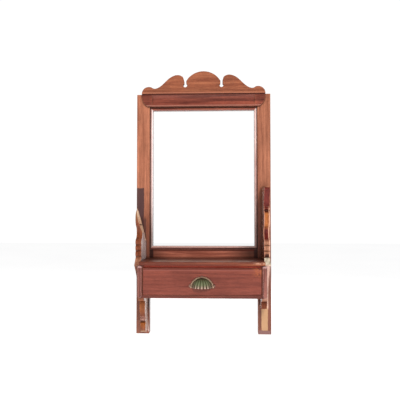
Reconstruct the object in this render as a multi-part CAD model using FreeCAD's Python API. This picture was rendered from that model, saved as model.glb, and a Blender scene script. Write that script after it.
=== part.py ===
import FreeCAD, Part
import math
import os

# A wall mirror with a single drawer.  Two long stiles and two rails hold a
# silvered glass.  A scalloped crest stands on the top rail, a shallow case
# with one drawer hangs on the front of the stiles, and sawn scroll brackets
# flank the case above and below.  Millimetres, +Z up, +X to the viewer's
# right, the viewer at -Y.  The origin lies on the wall, midway between the
# two hanging holes.
V = FreeCAD.Vector

# Frame
frame_width = 306.0
stile_length = 546.0
stile_width = 29.5
frame_thickness = 20.0
top_rail_width = 29.0
bottom_rail_width = 29.0
bottom_rail_rise = 162.0  # from the feet to the lower edge of the bottom rail
rebate_width = 6.0
rebate_depth = 10.0
tenon_length = 20.0
tenon_thickness = 6.0
tenon_shoulder = 4.0  # left on each edge of a rail beside its tenon
arris_round = 1.2

# Glass, backing and the moulded slips in front of the glass
glass_thickness = 3.0
backing_thickness = 4.0
glass_play = 0.8  # between an edge of the glass and its rebate
slip_width = 7.2
slip_setback = 2.4  # from the face of the frame to the crown of a slip
quirk_width = 1.3
quirk_depth = 2.2
sprig_thickness = 1.4
sprig_width = 2.0
sprig_length = 11.0
sprig_grip = 5.0  # length of a sprig inside the frame
sprig_pitch = 110.0
metal_play = 0.05  # round every nail, pin and sprig in its hole

# Header moulding and crest
header_inset = 11.6  # from the outer edge of a stile to the end of the header
header_thickness = 5.5
header_end_run = 18.0  # how far the rounded lower corner runs in from the end
cove_stop = 24.0  # flat left at each end of the hollow in the header
cove_depth = 2.6
cove_margin = 2.5  # flat above and below the hollow
crest_thickness = 12.0
crest_overhang = 1.5  # the crest stands this far in front of the header
crest_height = 51.5
lobe_radius = 16.5
dip_in = 28.5  # from the end of the crest to the dip inside its lobe
dip_rise = 12.4
peak_x = 57.5
peak_rise = 43.3
peak_reach = 11.2  # from a peak to the mouth of the notch beside it
notch_x = 41.4
notch_mouth_rise = 36.6
notch_throat_rise = 29.5
notch_mouth_half = 7.6  # from the notch to the springing of the middle arch
notch_slot_half = 2.3
piercing_radius = 4.5
piercing_rise = 19.4
tongue_width = 18.0
tongue_thickness = 3.0
tongue_length = 24.0
tongue_x = 84.0
tongue_back = 1.0  # from the face of the frame back to the face of a tongue

# Case
case_rise = 96.5  # from the feet to the underside of the case
case_depth = 97.0  # from the face of the frame to the front of the case
case_inset = 22.0  # from the outer edge of a stile to the outside of the case
case_side_thickness = 7.2
case_bottom_thickness = 6.5
case_top_thickness = 7.0
case_back_thickness = 5.0
drawer_opening_height = 56.7
front_rail_height = 5.3
front_rail_depth = 14.0
front_rail_setback = 3.5
case_nosing = 4.0  # the case top reaches this far past the case sides
nosing_round = 2.6
front_strip_width = 9.5
front_strip_thickness = 3.5
front_strip_reveal = 1.1  # case side left bare beside the drawer
front_strip_end_gap = 1.0  # between a strip and the case top above it
front_strip_bevel = 1.4
stop_width = 20.0
stop_height = 12.0
stop_play = 0.3
stop_inset = 30.0

# Upper scroll brackets: reaches are from the face of the frame, and each
# climb is from the form below it, up from the top of the case to the horn
bracket_thickness = 12.5
rib_bottom_rise = 7.5
rib_count = 3
rib_pitch = 12.5
rib_reach = 70.0
rib_fullness = 0.85  # how far a rib stands out, as a share of a half round
neck_climb = 12.0
neck_reach = 54.0
neck_top_climb = 14.0
lobe_climb = 18.0
lobe_reach = 71.0
notch_climb = 18.0
notch_reach = 59.0
lip_climb = 5.0
lip_reach = 65.0
horn_root_climb = 3.0
horn_root_reach = 61.0
horn_climb = 44.5
horn_tip_drop = 4.0
horn_reach = 78.0
horn_nose = 3.0
shoulder_reach = 84.0
shoulder_drop = 9.0
heel_reach = 30.0
heel_hollow = 7.0

# Lower scroll brackets: drops are from the underside of the case
lower_bracket_inset = 14.0
lower_bracket_thickness = 12.0
lower_top_reach = 62.0
lower_curl_reach = 55.0
lower_curl_drop = 11.0
lower_cusp_reach = 37.0
lower_cusp_drop = 15.0
belly_reach = 40.0
belly_drop = 36.0
belly_end_reach = 31.0
belly_end_drop = 55.0
ledge_reach = 35.0
ledge_drop = 57.5
ledge_step = 3.5
ball_root_reach = 24.0
ball_root_drop = 64.5
ball_reach = 31.0
ball_drop = 76.0
lower_foot_reach = 18.0
lower_bracket_length = 88.0

# Losses: the horn of the left upper bracket and the scroll of the right
# lower bracket have broken away
fracture_root_rise = 40.0  # inside, at the stile, from the top of the case
fracture_tip_rise = 62.0  # inside, at its highest corner
fracture_front_drop = 3.0  # from that corner down to the front of the bracket
fracture_skew = 51.0  # climb of the break from the inner to the outer face
lip_loss = 3.0  # behind the notch, where the lip has gone with the horn
stub_drop = 33.0
break_raggedness = 3.0

# Drawer
drawer_side_play = 0.6
drawer_lift = 0.3
drawer_head_room = 0.5
drawer_front_thickness = 12.0
drawer_side_thickness = 8.0
drawer_side_height = 48.0
drawer_back_thickness = 8.0
drawer_bottom_thickness = 3.5
drawer_tail_gap = 7.0  # from the case back to the rear of the drawer
drawer_groove_rise = 5.5
drawer_groove_depth = 3.0
groove_play = 0.1
dovetail_count = 3
dovetail_length = 8.0
dovetail_root = 8.0
dovetail_flare = 1.4
drawer_back_drop = 4.0
drawer_edge_bevel = 0.6

# Shell pull
pull_rise = 15.0  # from the lower edge of the drawer front to the cup's lip
pull_plate_radius = 25.2
pull_plate_height = 23.4
pull_plate_thickness = 1.2
pull_rim_width = 2.4
pull_rim_rise = 1.2
pull_rim_bevel = 0.7
pull_ear_radius = 3.1
pull_ear_rise = 4.4  # from the lip up to the centre of an end lug
hood_half_width = 20.6
hood_reach = 16.5
hood_height = 19.8
hood_wall = 2.0
hood_levels = 5
hood_top_angle = 75.0  # degrees round the oval profile, from the lip to the crown
valley_depth = 1.2  # between two ribs
rib_total = 9
rib_facets = 4
hollow_facets = 2
pull_pin_radius = 0.8
pull_pin_length = 8.0
pull_pin_head_radius = 1.7
pull_pin_head_rise = 1.0

# Hanging plates and fastenings
hanger_drop = 58.0  # from the top of a stile to the axis of its hanging hole
hanger_hole_radius = 4.5
hanger_slot_width = 4.2
hanger_slot_rise = 10.0
hanger_plate_width = 16.0
hanger_plate_above = 22.0
hanger_plate_below = 18.0
hanger_plate_thickness = 1.6
hanger_pocket_depth = 6.0
hanger_pocket_margin = 1.8
hanger_screw_margin = 4.5
fastening_flats = 12  # round a screw or pin
plate_screw_radius = 1.4
plate_screw_length = 13.0
nail_head_width = 5.4
nail_head_height = 3.4
nail_head_thickness = 1.2
nail_width = 3.2
nail_tip_width = 1.6
nail_length = 44.0
upper_nail_rises = (-40.0, 28.0)  # from the top of the case
lower_nail_drop = 14.0  # from the underside of the case
case_nail_margin = 13.0

# Places worked out from the sizes above
half_width = frame_width / 2
foot_z = hanger_drop - stile_length
stile_top_z = foot_z + stile_length
stile_inner_x = half_width - stile_width
stile_mid_x = half_width - stile_width / 2
face_y = -frame_thickness
rebate_y = -rebate_depth
top_rail_z = stile_top_z - top_rail_width
bottom_rail_z = foot_z + bottom_rail_rise
bottom_rail_top_z = bottom_rail_z + bottom_rail_width
opening_height = top_rail_z - bottom_rail_top_z
header_end_x = half_width - header_inset
case_outer_x = half_width - case_inset
case_inner_x = case_outer_x - case_side_thickness
case_z = foot_z + case_rise
rib_root_reach = rib_reach - rib_fullness * rib_pitch / 2
rib_top_rise = rib_bottom_rise + rib_count * rib_pitch
neck_rise = rib_top_rise + neck_climb
neck_top_rise = neck_rise + neck_top_climb
lobe_rise = neck_top_rise + lobe_climb
notch_rise = lobe_rise + notch_climb
lip_rise = notch_rise + lip_climb
horn_root_rise = lip_rise + horn_root_climb
horn_rise = horn_root_rise + horn_climb
case_floor_z = case_z + case_bottom_thickness
case_rail_z = case_floor_z + drawer_opening_height
case_side_top_z = case_rail_z + front_rail_height
case_top_z = case_side_top_z + case_top_thickness
lower_bracket_x = half_width - lower_bracket_inset - lower_bracket_thickness
drawer_half = case_inner_x - drawer_side_play
drawer_z = case_floor_z + drawer_lift
drawer_top_z = case_rail_z - drawer_head_room
drawer_rear = case_back_thickness + drawer_tail_gap
drawer_front_back = case_depth - drawer_front_thickness
drawer_inner_x = drawer_half - drawer_side_thickness
groove_z = drawer_z + drawer_groove_rise
pull_rim_front = pull_plate_thickness + pull_rim_rise
pull_ear_thickness = pull_rim_front + metal_play


def ahead(reach):
    """The y of a point that stands this far in front of the frame's face."""
    return face_y - reach


def block(x, y, z):
    """A box between two places on each axis."""
    low = V(min(x), min(y), min(z))
    return Part.makeBox(max(x) - low.x, max(y) - low.y, max(z) - low.z, low)


def front_edges(shape, x=None, z=None):
    """The edges that lie in the foremost plane, at this x or z if it is given."""

    def near(value, wanted):
        return wanted is None or abs(value - wanted) < 0.001

    front = shape.BoundBox.YMin
    middles = [(edge, edge.CenterOfMass) for edge in shape.Edges]
    return [
        edge for edge, at in middles if near(at.y, front) and near(at.x, x) and near(at.z, z)
    ]


def mirrored(shape):
    """The same piece for the other side of the middle."""
    return shape.mirror(V(0, 0, 0), V(1, 0, 0))


def along_y(radius, x, z, y_from, y_to):
    """A round bar that runs front to back."""
    return Part.makeCylinder(radius, abs(y_to - y_from), V(x, min(y_from, y_to), z), V(0, 1, 0))


def flats(radius, x, y, z):
    """A wire of a few flats round a point, facing the viewer."""
    turns = [2 * math.pi * index / fastening_flats for index in range(fastening_flats)]
    corners = [V(x + radius * math.cos(turn), y, z + radius * math.sin(turn)) for turn in turns]
    return Part.makePolygon(corners + corners[:1])


def stem(x, z, y_from, radius, y_to, end_radius):
    """A slim round part of a screw or pin that runs front to back."""
    return Part.makeLoft([flats(radius, x, y_from, z), flats(end_radius, x, y_to, z)], True, True)


def closed_face(place, start, *moves):
    """A flat face whose edge follows the moves from start.  A move is a point
    for a straight edge, or a pair (through, end) for an arc.  place puts a
    point of the outline in space."""
    edges = []
    here = start
    for move in moves:
        if isinstance(move[0], tuple):
            through, end = move
            edges.append(Part.Arc(place(here), place(through), place(end)).toShape())
        else:
            end = move
            edges.append(Part.makeLine(place(here), place(end)))
        here = end
    if here != start:
        edges.append(Part.makeLine(place(here), place(start)))
    return Part.Face(Part.Wire(edges))


def front_view(y):
    """Places outline points (x, z) in a plane that faces the viewer."""
    return lambda point: V(point[0], y, point[1])


def side_view(x, base_z):
    """Places outline points (reach, rise) in a plane seen from the side."""
    return lambda point: V(x, ahead(point[0]), base_z + point[1])


# Fastenings


def rectangle(x, y, z, width, height):
    """A wire round an upright rectangle that faces the viewer."""
    half = V(width / 2, 0, 0)
    rise = V(0, 0, height / 2)
    middle = V(x, y, z)
    corners = [middle - half - rise, middle + half - rise, middle + half + rise, middle - half + rise]
    return Part.makePolygon(corners + corners[:1])


def cut_nail(x, z, grow=0.0):
    """A square cut nail, driven forward from the back of the frame."""
    head = block(
        (x - nail_head_width / 2 - grow, x + nail_head_width / 2 + grow),
        (0, -nail_head_thickness - grow),
        (z - nail_head_height / 2 - grow, z + nail_head_height / 2 + grow),
    )
    root = nail_width + 2 * grow
    tip = nail_tip_width + 2 * grow
    sections = [
        rectangle(x, -nail_head_thickness / 2, z, root, tip),
        rectangle(x, -nail_length - grow, z, tip, tip),
    ]
    return head.fuse(Part.makeLoft(sections, True, True))


def upper_nail_places():
    """Where nails run through a stile into an upper bracket."""
    x = case_outer_x + bracket_thickness / 2
    return [(x, case_top_z + rise) for rise in upper_nail_rises]


def lower_nail_places():
    """Where a nail runs through a stile into a lower bracket."""
    return [(lower_bracket_x + lower_bracket_thickness / 2, case_z - lower_nail_drop)]


def case_nail_places():
    """Where nails run through a stile into a case side."""
    x = case_outer_x - case_side_thickness / 2
    return [(x, case_floor_z + case_nail_margin), (x, case_side_top_z - case_nail_margin)]


def nail_pairs(places):
    """One nail at each place, on both sides of the frame."""
    right = [cut_nail(x, z) for x, z in places]
    return Part.makeCompound(right + [mirrored(nail) for nail in right])


def nail_holes(places):
    """The holes for those nails, on the right-hand side."""
    return [cut_nail(x, z, metal_play) for x, z in places]


# Frame


def keyhole(y_from, y_to, margin=0.0):
    """The round entry and the slot above it, as a cutter for the right side."""
    entry = along_y(hanger_hole_radius + margin, stile_mid_x, 0, y_from, y_to)
    half_slot = hanger_slot_width / 2 + margin
    slot = block(
        (stile_mid_x - half_slot, stile_mid_x + half_slot),
        (y_from, y_to),
        (0, hanger_slot_rise + margin),
    )
    return entry.fuse(slot)


def plate_screw(z, grow=0.0):
    """A countersunk screw: its head fills the thickness of the hanging plate."""
    sink = hanger_plate_thickness
    radius = plate_screw_radius + grow
    head = stem(stile_mid_x, z, 0, radius + sink, -sink, radius)
    return head.fuse(stem(stile_mid_x, z, -sink, radius, -plate_screw_length, radius))


def plate_screw_set(grow=0.0):
    """The two screws of the right-hand hanging plate."""
    heights = (hanger_plate_above - hanger_screw_margin, hanger_screw_margin - hanger_plate_below)
    return [plate_screw(z, grow) for z in heights]


def plate_screws():
    right = plate_screw_set()
    return Part.makeCompound(right + [mirrored(screw) for screw in right])


def hanging_plate_blank():
    half = hanger_plate_width / 2
    return block(
        (stile_mid_x - half, stile_mid_x + half),
        (-hanger_plate_thickness, 0),
        (-hanger_plate_below, hanger_plate_above),
    )


def hanging_plate():
    """A brass keyhole plate, let in flush at the back of the right stile."""
    hole = keyhole(0, -hanger_plate_thickness)
    return hanging_plate_blank().cut([hole] + plate_screw_set(metal_play))


def hanging_plate_seat():
    """What is cut from the stile for the plate, a screw's head and the screws."""
    pocket = keyhole(0, -hanger_pocket_depth, hanger_pocket_margin)
    return hanging_plate_blank().fuse([pocket] + plate_screw_set(metal_play))


def tenon(z_from, z_to):
    """The tenon at the right-hand end of a rail, in front of the rebate."""
    middle_y = (face_y + rebate_y) / 2
    return block(
        (stile_inner_x, stile_inner_x + tenon_length),
        (middle_y - tenon_thickness / 2, middle_y + tenon_thickness / 2),
        (z_from + tenon_shoulder, z_to - tenon_shoulder),
    )


def top_tenon():
    return tenon(top_rail_z, stile_top_z)


def bottom_tenon():
    return tenon(bottom_rail_z, bottom_rail_top_z)


def glass_rebate(clearance=0.0):
    """The space behind the slips that the glass and its backing fill."""
    half = stile_inner_x + rebate_width - clearance
    low = bottom_rail_top_z - rebate_width + clearance
    high = top_rail_z + rebate_width - clearance
    return block((-half, half), (rebate_y, 0), (low, high))


def sprig(x, z, direction, grow=0.0):
    """A flat glazing sprig behind the backing board, driven outward."""
    thick = sprig_thickness / 2 + grow
    wide = sprig_width / 2 + grow
    y = rebate_y + glass_thickness + backing_thickness + sprig_thickness / 2 + 2 * metal_play
    across = V(wide, 0, wide) - V(abs(direction.x), 0, abs(direction.z)) * wide + V(0, thick, 0)
    tip = V(x, y, z) + direction * sprig_grip
    tail = tip - direction * sprig_length
    ends = [tip + across, tip - across, tail + across, tail - across]
    return block([end.x for end in ends], [end.y for end in ends], [end.z for end in ends])


def stile_sprigs(grow=0.0):
    """The glazing sprigs of the right-hand stile."""
    x = stile_inner_x + rebate_width
    middle = (top_rail_z + bottom_rail_top_z) / 2
    return [sprig(x, middle + step * sprig_pitch, V(1, 0, 0), grow) for step in (-1, 0, 1)]


def rail_sprigs(z, direction, grow=0.0):
    """The glazing sprigs of one rail."""
    return [sprig(side * sprig_pitch / 2, z, direction, grow) for side in (-1, 1)]


def top_sprigs(grow=0.0):
    return rail_sprigs(top_rail_z + rebate_width, V(0, 0, 1), grow)


def bottom_sprigs(grow=0.0):
    return rail_sprigs(bottom_rail_top_z - rebate_width, V(0, 0, -1), grow)


def glazing_sprigs():
    right = stile_sprigs()
    left = [mirrored(one) for one in right]
    return Part.makeCompound(right + left + top_sprigs() + bottom_sprigs())


def right_stile():
    """A long stile: mortised for both rails, rebated for the glass."""
    stile = block((stile_inner_x, half_width), (face_y, 0), (foot_z, stile_top_z))
    stile = stile.makeFillet(arris_round, front_edges(stile, x=half_width))
    holes = [glass_rebate(), top_tenon(), bottom_tenon(), hanging_plate_seat()]
    holes += stile_sprigs(metal_play)
    holes += nail_holes(upper_nail_places() + lower_nail_places() + case_nail_places())
    return stile.cut(holes)


def rail(z_from, z_to, right_tenon, holes):
    """A rail between the stiles, with a tenon at each end."""
    body = block((-stile_inner_x, stile_inner_x), (face_y, 0), (z_from, z_to))
    body = body.fuse([right_tenon, mirrored(right_tenon)])
    return body.cut([glass_rebate()] + holes)


def top_rail():
    holes = top_sprigs(metal_play) + [crest_tongues()]
    return rail(top_rail_z, stile_top_z, top_tenon(), holes)


def bottom_rail():
    return rail(bottom_rail_z, bottom_rail_top_z, bottom_tenon(), bottom_sprigs(metal_play))


# Slips, glass and backing


def slip_section():
    """Section of a slip: a quirk beside the frame, then a rounded bead."""
    crown = face_y + slip_setback
    floor = crown + quirk_depth
    return closed_face(
        lambda point: V(0, point[1], point[0]),
        (0, rebate_y),
        (0, floor),
        (quirk_width, floor),
        (((quirk_width + slip_width) / 2, crown), (slip_width, floor)),
        (slip_width, rebate_y),
    )


def slip(length):
    """A slip that runs along x from 0, mitred at both ends, inner edge up."""
    bar = slip_section().extrude(V(length, 0, 0))
    mitres = closed_face(
        front_view(face_y),
        (0, 0),
        (length, 0),
        (length - slip_width, slip_width),
        (slip_width, slip_width),
    )
    return bar.common(mitres.extrude(V(0, frame_thickness, 0)))


def turned(shape, degrees):
    """The shape turned about the y axis."""
    copy = shape.copy()
    copy.rotate(V(0, 0, 0), V(0, 1, 0), degrees)
    return copy


def moved(shape, x, z):
    copy = shape.copy()
    copy.translate(V(x, 0, z))
    return copy


def bottom_slip():
    return moved(slip(2 * stile_inner_x), -stile_inner_x, bottom_rail_top_z)


def top_slip():
    return moved(turned(slip(2 * stile_inner_x), 180), stile_inner_x, top_rail_z)


def left_slip():
    return moved(turned(slip(opening_height), 90), -stile_inner_x, top_rail_z)


def mirror_glass():
    back = rebate_y + glass_thickness
    return glass_rebate(glass_play).common(
        block((-half_width, half_width), (rebate_y, back), (foot_z, stile_top_z))
    )


def backing_board():
    front = rebate_y + glass_thickness
    return glass_rebate(glass_play).common(
        block((-half_width, half_width), (front, front + backing_thickness), (foot_z, stile_top_z))
    )


# Header and crest


def header_moulding():
    """A planted moulding with rounded lower corners and a stopped hollow."""
    place = front_view(face_y)
    run = header_end_x - header_end_run
    edges = [
        Part.makeLine(place((-header_end_x, stile_top_z)), place((header_end_x, stile_top_z))),
        Part.makeLine(place((-run, top_rail_z)), place((run, top_rail_z))),
    ]
    pull = 0.55  # the share of each side that makes a curve close to an ellipse
    for side in (-1, 1):
        corner = Part.BezierCurve()
        corner.setPoles(
            [
                place((side * header_end_x, stile_top_z)),
                place((side * header_end_x, stile_top_z - pull * top_rail_width)),
                place((side * (run + pull * header_end_run), top_rail_z)),
                place((side * run, top_rail_z)),
            ]
        )
        edges.append(corner.toShape())
    outline = Part.Wire(Part.__sortEdges__(edges))
    board = Part.Face(outline).extrude(V(0, -header_thickness, 0))
    return board.cut(header_hollow())


def header_hollow():
    """The round-bottomed hollow along the header, stopped near its ends."""
    half_chord = top_rail_width / 2 - cove_margin
    radius = (half_chord**2 + cove_depth**2) / (2 * cove_depth)
    axis_y = ahead(header_thickness) + cove_depth - radius
    half = header_end_x - cove_stop
    middle_z = (top_rail_z + stile_top_z) / 2
    return Part.makeCylinder(radius, 2 * half, V(-half, axis_y, middle_z), V(1, 0, 0))


def crest_tongue(side):
    """A loose tongue that stands half in the top rail and half in the crest."""
    front = face_y + tongue_back
    middle = side * tongue_x
    return block(
        (middle - tongue_width / 2, middle + tongue_width / 2),
        (front, front + tongue_thickness),
        (stile_top_z - tongue_length / 2, stile_top_z + tongue_length / 2),
    )


def crest_tongues():
    return Part.makeCompound([crest_tongue(-1), crest_tongue(1)])


def crest_half_edges(place):
    """The scalloped edge from the right-hand end to the middle of the crest."""
    lobe_x = header_end_x - lobe_radius
    lobe_side = (lobe_x + lobe_radius * math.cos(math.pi / 4), lobe_radius * math.sin(math.pi / 4))
    shed = math.radians(113)
    lobe_end = (lobe_x + lobe_radius * math.cos(shed), lobe_radius * math.sin(shed))
    dip = (header_end_x - dip_in, dip_rise)
    slope_foot = (header_end_x - 2 * lobe_radius - dip_rise / 2, dip_rise + lobe_radius / 6)
    peak = (peak_x, peak_rise)
    shoulder = (peak_x + peak_reach * 1.6, peak_rise - peak_reach / 2)
    mouth = (peak_x - peak_reach, notch_mouth_rise + 1.6)
    throat_out = (notch_x + notch_slot_half, notch_throat_rise)
    throat_in = (notch_x - notch_slot_half, notch_throat_rise)
    spring = (notch_x - notch_mouth_half, notch_mouth_rise)
    arch_rise = crest_height - spring[1]
    arch_radius = (spring[0] ** 2 + arch_rise**2) / (2 * arch_rise)
    arch_turn = math.asin(spring[0] / arch_radius) / 2
    arch_side = (
        arch_radius * math.sin(arch_turn),
        crest_height - arch_radius * (1 - math.cos(arch_turn)),
    )
    sweep = Part.BSplineCurve()
    stations = (lobe_end, dip, slope_foot, shoulder, peak, mouth)
    sweep.interpolate([place(point) for point in stations])
    return [
        Part.Arc(place((header_end_x, 0)), place(lobe_side), place(lobe_end)).toShape(),
        sweep.toShape(),
        Part.makeLine(place(mouth), place(throat_out)),
        Part.makeLine(place(throat_out), place(throat_in)),
        Part.makeLine(place(throat_in), place(spring)),
        Part.Arc(place(spring), place(arch_side), place((0, crest_height))).toShape(),
    ]


def crest_board():
    """The scalloped crest, pierced by two keyholes."""
    front = ahead(header_thickness + crest_overhang)

    def place_right(point):
        return V(point[0], front, stile_top_z + point[1])

    def place_left(point):
        return V(-point[0], front, stile_top_z + point[1])

    base = Part.makeLine(place_left((header_end_x, 0)), place_right((header_end_x, 0)))
    edges = crest_half_edges(place_right) + crest_half_edges(place_left) + [base]
    board = Part.Face(Part.Wire(Part.__sortEdges__(edges))).extrude(V(0, crest_thickness, 0))
    back = front + crest_thickness
    for side in (-1, 1):
        hole = along_y(piercing_radius, side * notch_x, stile_top_z + piercing_rise, front, back)
        slot = block(
            (side * notch_x - notch_slot_half, side * notch_x + notch_slot_half),
            (front, back),
            (stile_top_z + piercing_rise, stile_top_z + notch_throat_rise),
        )
        board = board.cut([hole, slot])
    return board.cut(crest_tongues())


# Case


def right_case_side():
    side = block(
        (case_inner_x, case_outer_x),
        (ahead(case_depth), face_y),
        (case_floor_z, case_side_top_z),
    )
    return side.cut(nail_holes(case_nail_places()))


def case_bottom():
    return block(
        (-case_outer_x, case_outer_x),
        (ahead(case_depth), face_y),
        (case_z, case_floor_z),
    )


def case_top():
    """The top board, with a rounded nosing that hangs past the case."""
    top = block(
        (-case_outer_x, case_outer_x),
        (ahead(case_depth + case_nosing), face_y),
        (case_side_top_z, case_top_z),
    )
    return top.makeFillet(nosing_round, front_edges(top, z=case_top_z))


def case_back():
    return block(
        (-case_inner_x, case_inner_x),
        (ahead(case_back_thickness), face_y),
        (case_floor_z, case_side_top_z),
    )


def case_front_rail():
    """The thin rail above the drawer, set back under the nosing."""
    front = case_depth - front_rail_setback
    return block(
        (-case_inner_x, case_inner_x),
        (ahead(front), ahead(front - front_rail_depth)),
        (case_rail_z, case_side_top_z),
    )


def front_strip():
    """A thumb-ended strip planted on the front edge of the right case side."""
    half = front_strip_width / 2
    x = case_inner_x + front_strip_reveal + half
    low = case_z + front_strip_end_gap + half
    high = case_side_top_z - front_strip_end_gap - half
    face = closed_face(
        front_view(ahead(case_depth)),
        (x - half, low),
        ((x, low - half), (x + half, low)),
        (x + half, high),
        ((x, high + half), (x - half, high)),
    )
    strip = face.extrude(V(0, -front_strip_thickness, 0))
    return strip.makeChamfer(front_strip_bevel, front_edges(strip))


def drawer_stops():
    """Two blocks on the case floor that the back of the drawer meets."""
    x = case_inner_x - stop_inset
    stop = block(
        (x - stop_width, x),
        (ahead(case_back_thickness), ahead(drawer_rear - stop_play)),
        (case_floor_z, case_floor_z + stop_height),
    )
    return Part.makeCompound([stop, mirrored(stop)])


# Brackets


def upper_bracket_face():
    """The outline of an upper bracket, from its heel up to the horn."""
    heel = case_z - case_top_z
    moves = [
        (0, horn_rise),
        (horn_reach - horn_nose, horn_rise - horn_tip_drop),
        ((horn_reach, horn_rise - horn_tip_drop - horn_nose * 0.8), (horn_reach - 1, horn_rise - 9)),
        (
            ((horn_reach + horn_root_reach) / 2 - 4, (horn_rise - 9 + horn_root_rise) / 2),
            (horn_root_reach, horn_root_rise),
        ),
        (lip_reach, lip_rise),
        (notch_reach, notch_rise),
        ((lobe_reach, lobe_rise), (notch_reach, neck_top_rise)),
        ((neck_reach, neck_rise), (rib_root_reach, rib_top_rise)),
    ]
    for index in range(rib_count):
        top = rib_top_rise - index * rib_pitch
        moves.append(((rib_reach, top - rib_pitch / 2), (rib_root_reach, top - rib_pitch)))
    moves.append((shoulder_reach, -shoulder_drop))
    hollow = (
        (shoulder_reach + heel_reach) / 2 - heel_hollow,
        (heel - shoulder_drop) / 2,
    )
    moves.append((hollow, (heel_reach, heel)))
    return closed_face(side_view(case_outer_x, case_top_z), (0, heel), *moves)


def whole_upper_bracket():
    """An upper bracket that flanks the case on the right, with its horn."""
    board = upper_bracket_face().extrude(V(bracket_thickness, 0, 0))
    return board.cut(nail_holes(upper_nail_places()))


def broken_upper_bracket():
    """The same bracket after its horn has split away, with a slanted break."""
    climb = (fracture_tip_rise - fracture_root_rise) / 3
    reach = notch_reach / 4
    front_rise = fracture_tip_rise - fracture_front_drop
    break_line = [
        (reach, fracture_root_rise + climb - break_raggedness),
        (2 * reach, fracture_root_rise + 2 * climb + break_raggedness),
        (3 * reach, fracture_tip_rise),
        (4 * reach, front_rise),
        (2 * horn_reach, front_rise),
        (2 * horn_reach, 2 * horn_rise),
        (-1, 2 * horn_rise),
    ]
    start = (-1, fracture_root_rise)
    inside = side_view(case_outer_x, case_top_z)
    lost = closed_face(inside, start, *break_line).extrude(V(bracket_thickness, 0, fracture_skew))
    lip = block(
        (case_outer_x, case_outer_x + bracket_thickness),
        (ahead(notch_reach - lip_loss), ahead(2 * horn_reach)),
        (case_top_z + notch_rise, case_top_z + 2 * horn_rise),
    )
    return whole_upper_bracket().cut([lost, lip])


def lower_bracket_face():
    """The outline of a lower bracket, from the case down to its ball."""
    return closed_face(
        side_view(lower_bracket_x, case_z),
        (0, 0),
        (lower_top_reach, 0),
        ((lower_curl_reach, -lower_curl_drop), (lower_cusp_reach, -lower_cusp_drop)),
        ((belly_reach, -belly_drop), (belly_end_reach, -belly_end_drop)),
        (ledge_reach, -ledge_drop),
        (ledge_reach, -ledge_drop - ledge_step),
        (ball_root_reach, -ball_root_drop),
        ((ball_reach, -ball_drop), (lower_foot_reach, -lower_bracket_length)),
        (0, -lower_bracket_length),
    )


def whole_lower_bracket():
    """A lower bracket, as it is on the right of the frame."""
    board = lower_bracket_face().extrude(V(lower_bracket_thickness, 0, 0))
    return board.cut(nail_holes(lower_nail_places()))


def lower_bracket_stub():
    """What is left of a lower bracket whose scroll has broken off."""
    reach = belly_reach / 3
    bottom = -2 * lower_bracket_length
    lost = closed_face(
        side_view(lower_bracket_x, case_z),
        (-1, -stub_drop),
        (reach, break_raggedness - stub_drop),
        (2 * reach, -stub_drop),
        (4 * reach, break_raggedness - stub_drop),
        (4 * reach, bottom),
        (-1, bottom),
    )
    return whole_lower_bracket().cut(lost.extrude(V(lower_bracket_thickness, 0, 0)))


# Drawer


def dovetails():
    """The tails at the front end of the right drawer side."""
    room = drawer_side_height / dovetail_count
    x = drawer_inner_x
    tails = []
    for index in range(dovetail_count):
        middle = drawer_z - case_top_z + room * (index + 0.5)
        half = dovetail_root / 2
        root = drawer_front_back
        tip = drawer_front_back + dovetail_length
        face = closed_face(
            side_view(x, case_top_z),
            (root, middle - half),
            (tip, middle - half - dovetail_flare),
            (tip, middle + half + dovetail_flare),
            (root, middle + half),
        )
        tails.append(face.extrude(V(drawer_side_thickness, 0, 0)))
    return tails


def right_drawer_side():
    side = block(
        (drawer_inner_x, drawer_half),
        (ahead(drawer_rear), ahead(drawer_front_back)),
        (drawer_z, drawer_z + drawer_side_height),
    )
    groove = block(
        (0, drawer_inner_x + drawer_groove_depth),
        (ahead(drawer_rear), ahead(drawer_front_back)),
        (groove_z, groove_z + drawer_bottom_thickness),
    )
    return side.fuse(dovetails()).cut(groove).removeSplitter()


def drawer_front():
    """The drawer front: lapped over the tails, grooved for the bottom."""
    board = block(
        (-drawer_half, drawer_half),
        (ahead(case_depth), ahead(drawer_front_back)),
        (drawer_z, drawer_top_z),
    )
    board = board.makeChamfer(drawer_edge_bevel, front_edges(board))
    groove = block(
        (-drawer_inner_x, drawer_inner_x),
        (ahead(drawer_front_back), ahead(drawer_front_back + drawer_groove_depth)),
        (groove_z, groove_z + drawer_bottom_thickness),
    )
    sockets = dovetails() + [mirrored(tail) for tail in dovetails()]
    return board.cut(sockets + [groove] + pull_pin_shanks(metal_play))


def drawer_bottom():
    """A thin panel, notched at the front between the drawer sides."""
    half = drawer_inner_x + drawer_groove_depth - groove_play
    top = groove_z + drawer_bottom_thickness
    panel = block((-half, half), (ahead(drawer_rear), ahead(drawer_front_back)), (groove_z, top))
    tongue = block(
        (-drawer_inner_x, drawer_inner_x),
        (ahead(drawer_front_back), ahead(drawer_front_back + drawer_groove_depth - groove_play)),
        (groove_z, top),
    )
    return panel.fuse(tongue).removeSplitter()


def drawer_back():
    return block(
        (-drawer_inner_x, drawer_inner_x),
        (ahead(drawer_rear), ahead(drawer_rear + drawer_back_thickness)),
        (groove_z + drawer_bottom_thickness, drawer_z + drawer_side_height - drawer_back_drop),
    )


# Shell pull


def pull_z():
    """The height of the lower lip of the pull."""
    return drawer_z + pull_rise


def pull_arc_z():
    """The height of the centre of the plate's arc."""
    return pull_z() + pull_plate_height - pull_plate_radius


def ear_places():
    """Centres of the three lugs: one at each end of the plate, one on top."""
    low = pull_z() + pull_ear_rise
    reach = math.sqrt(pull_plate_radius**2 - (low - pull_arc_z()) ** 2)
    top = pull_arc_z() + pull_plate_radius - pull_rim_width / 2
    return [(-reach, low), (reach, low), (0, top)]


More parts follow.
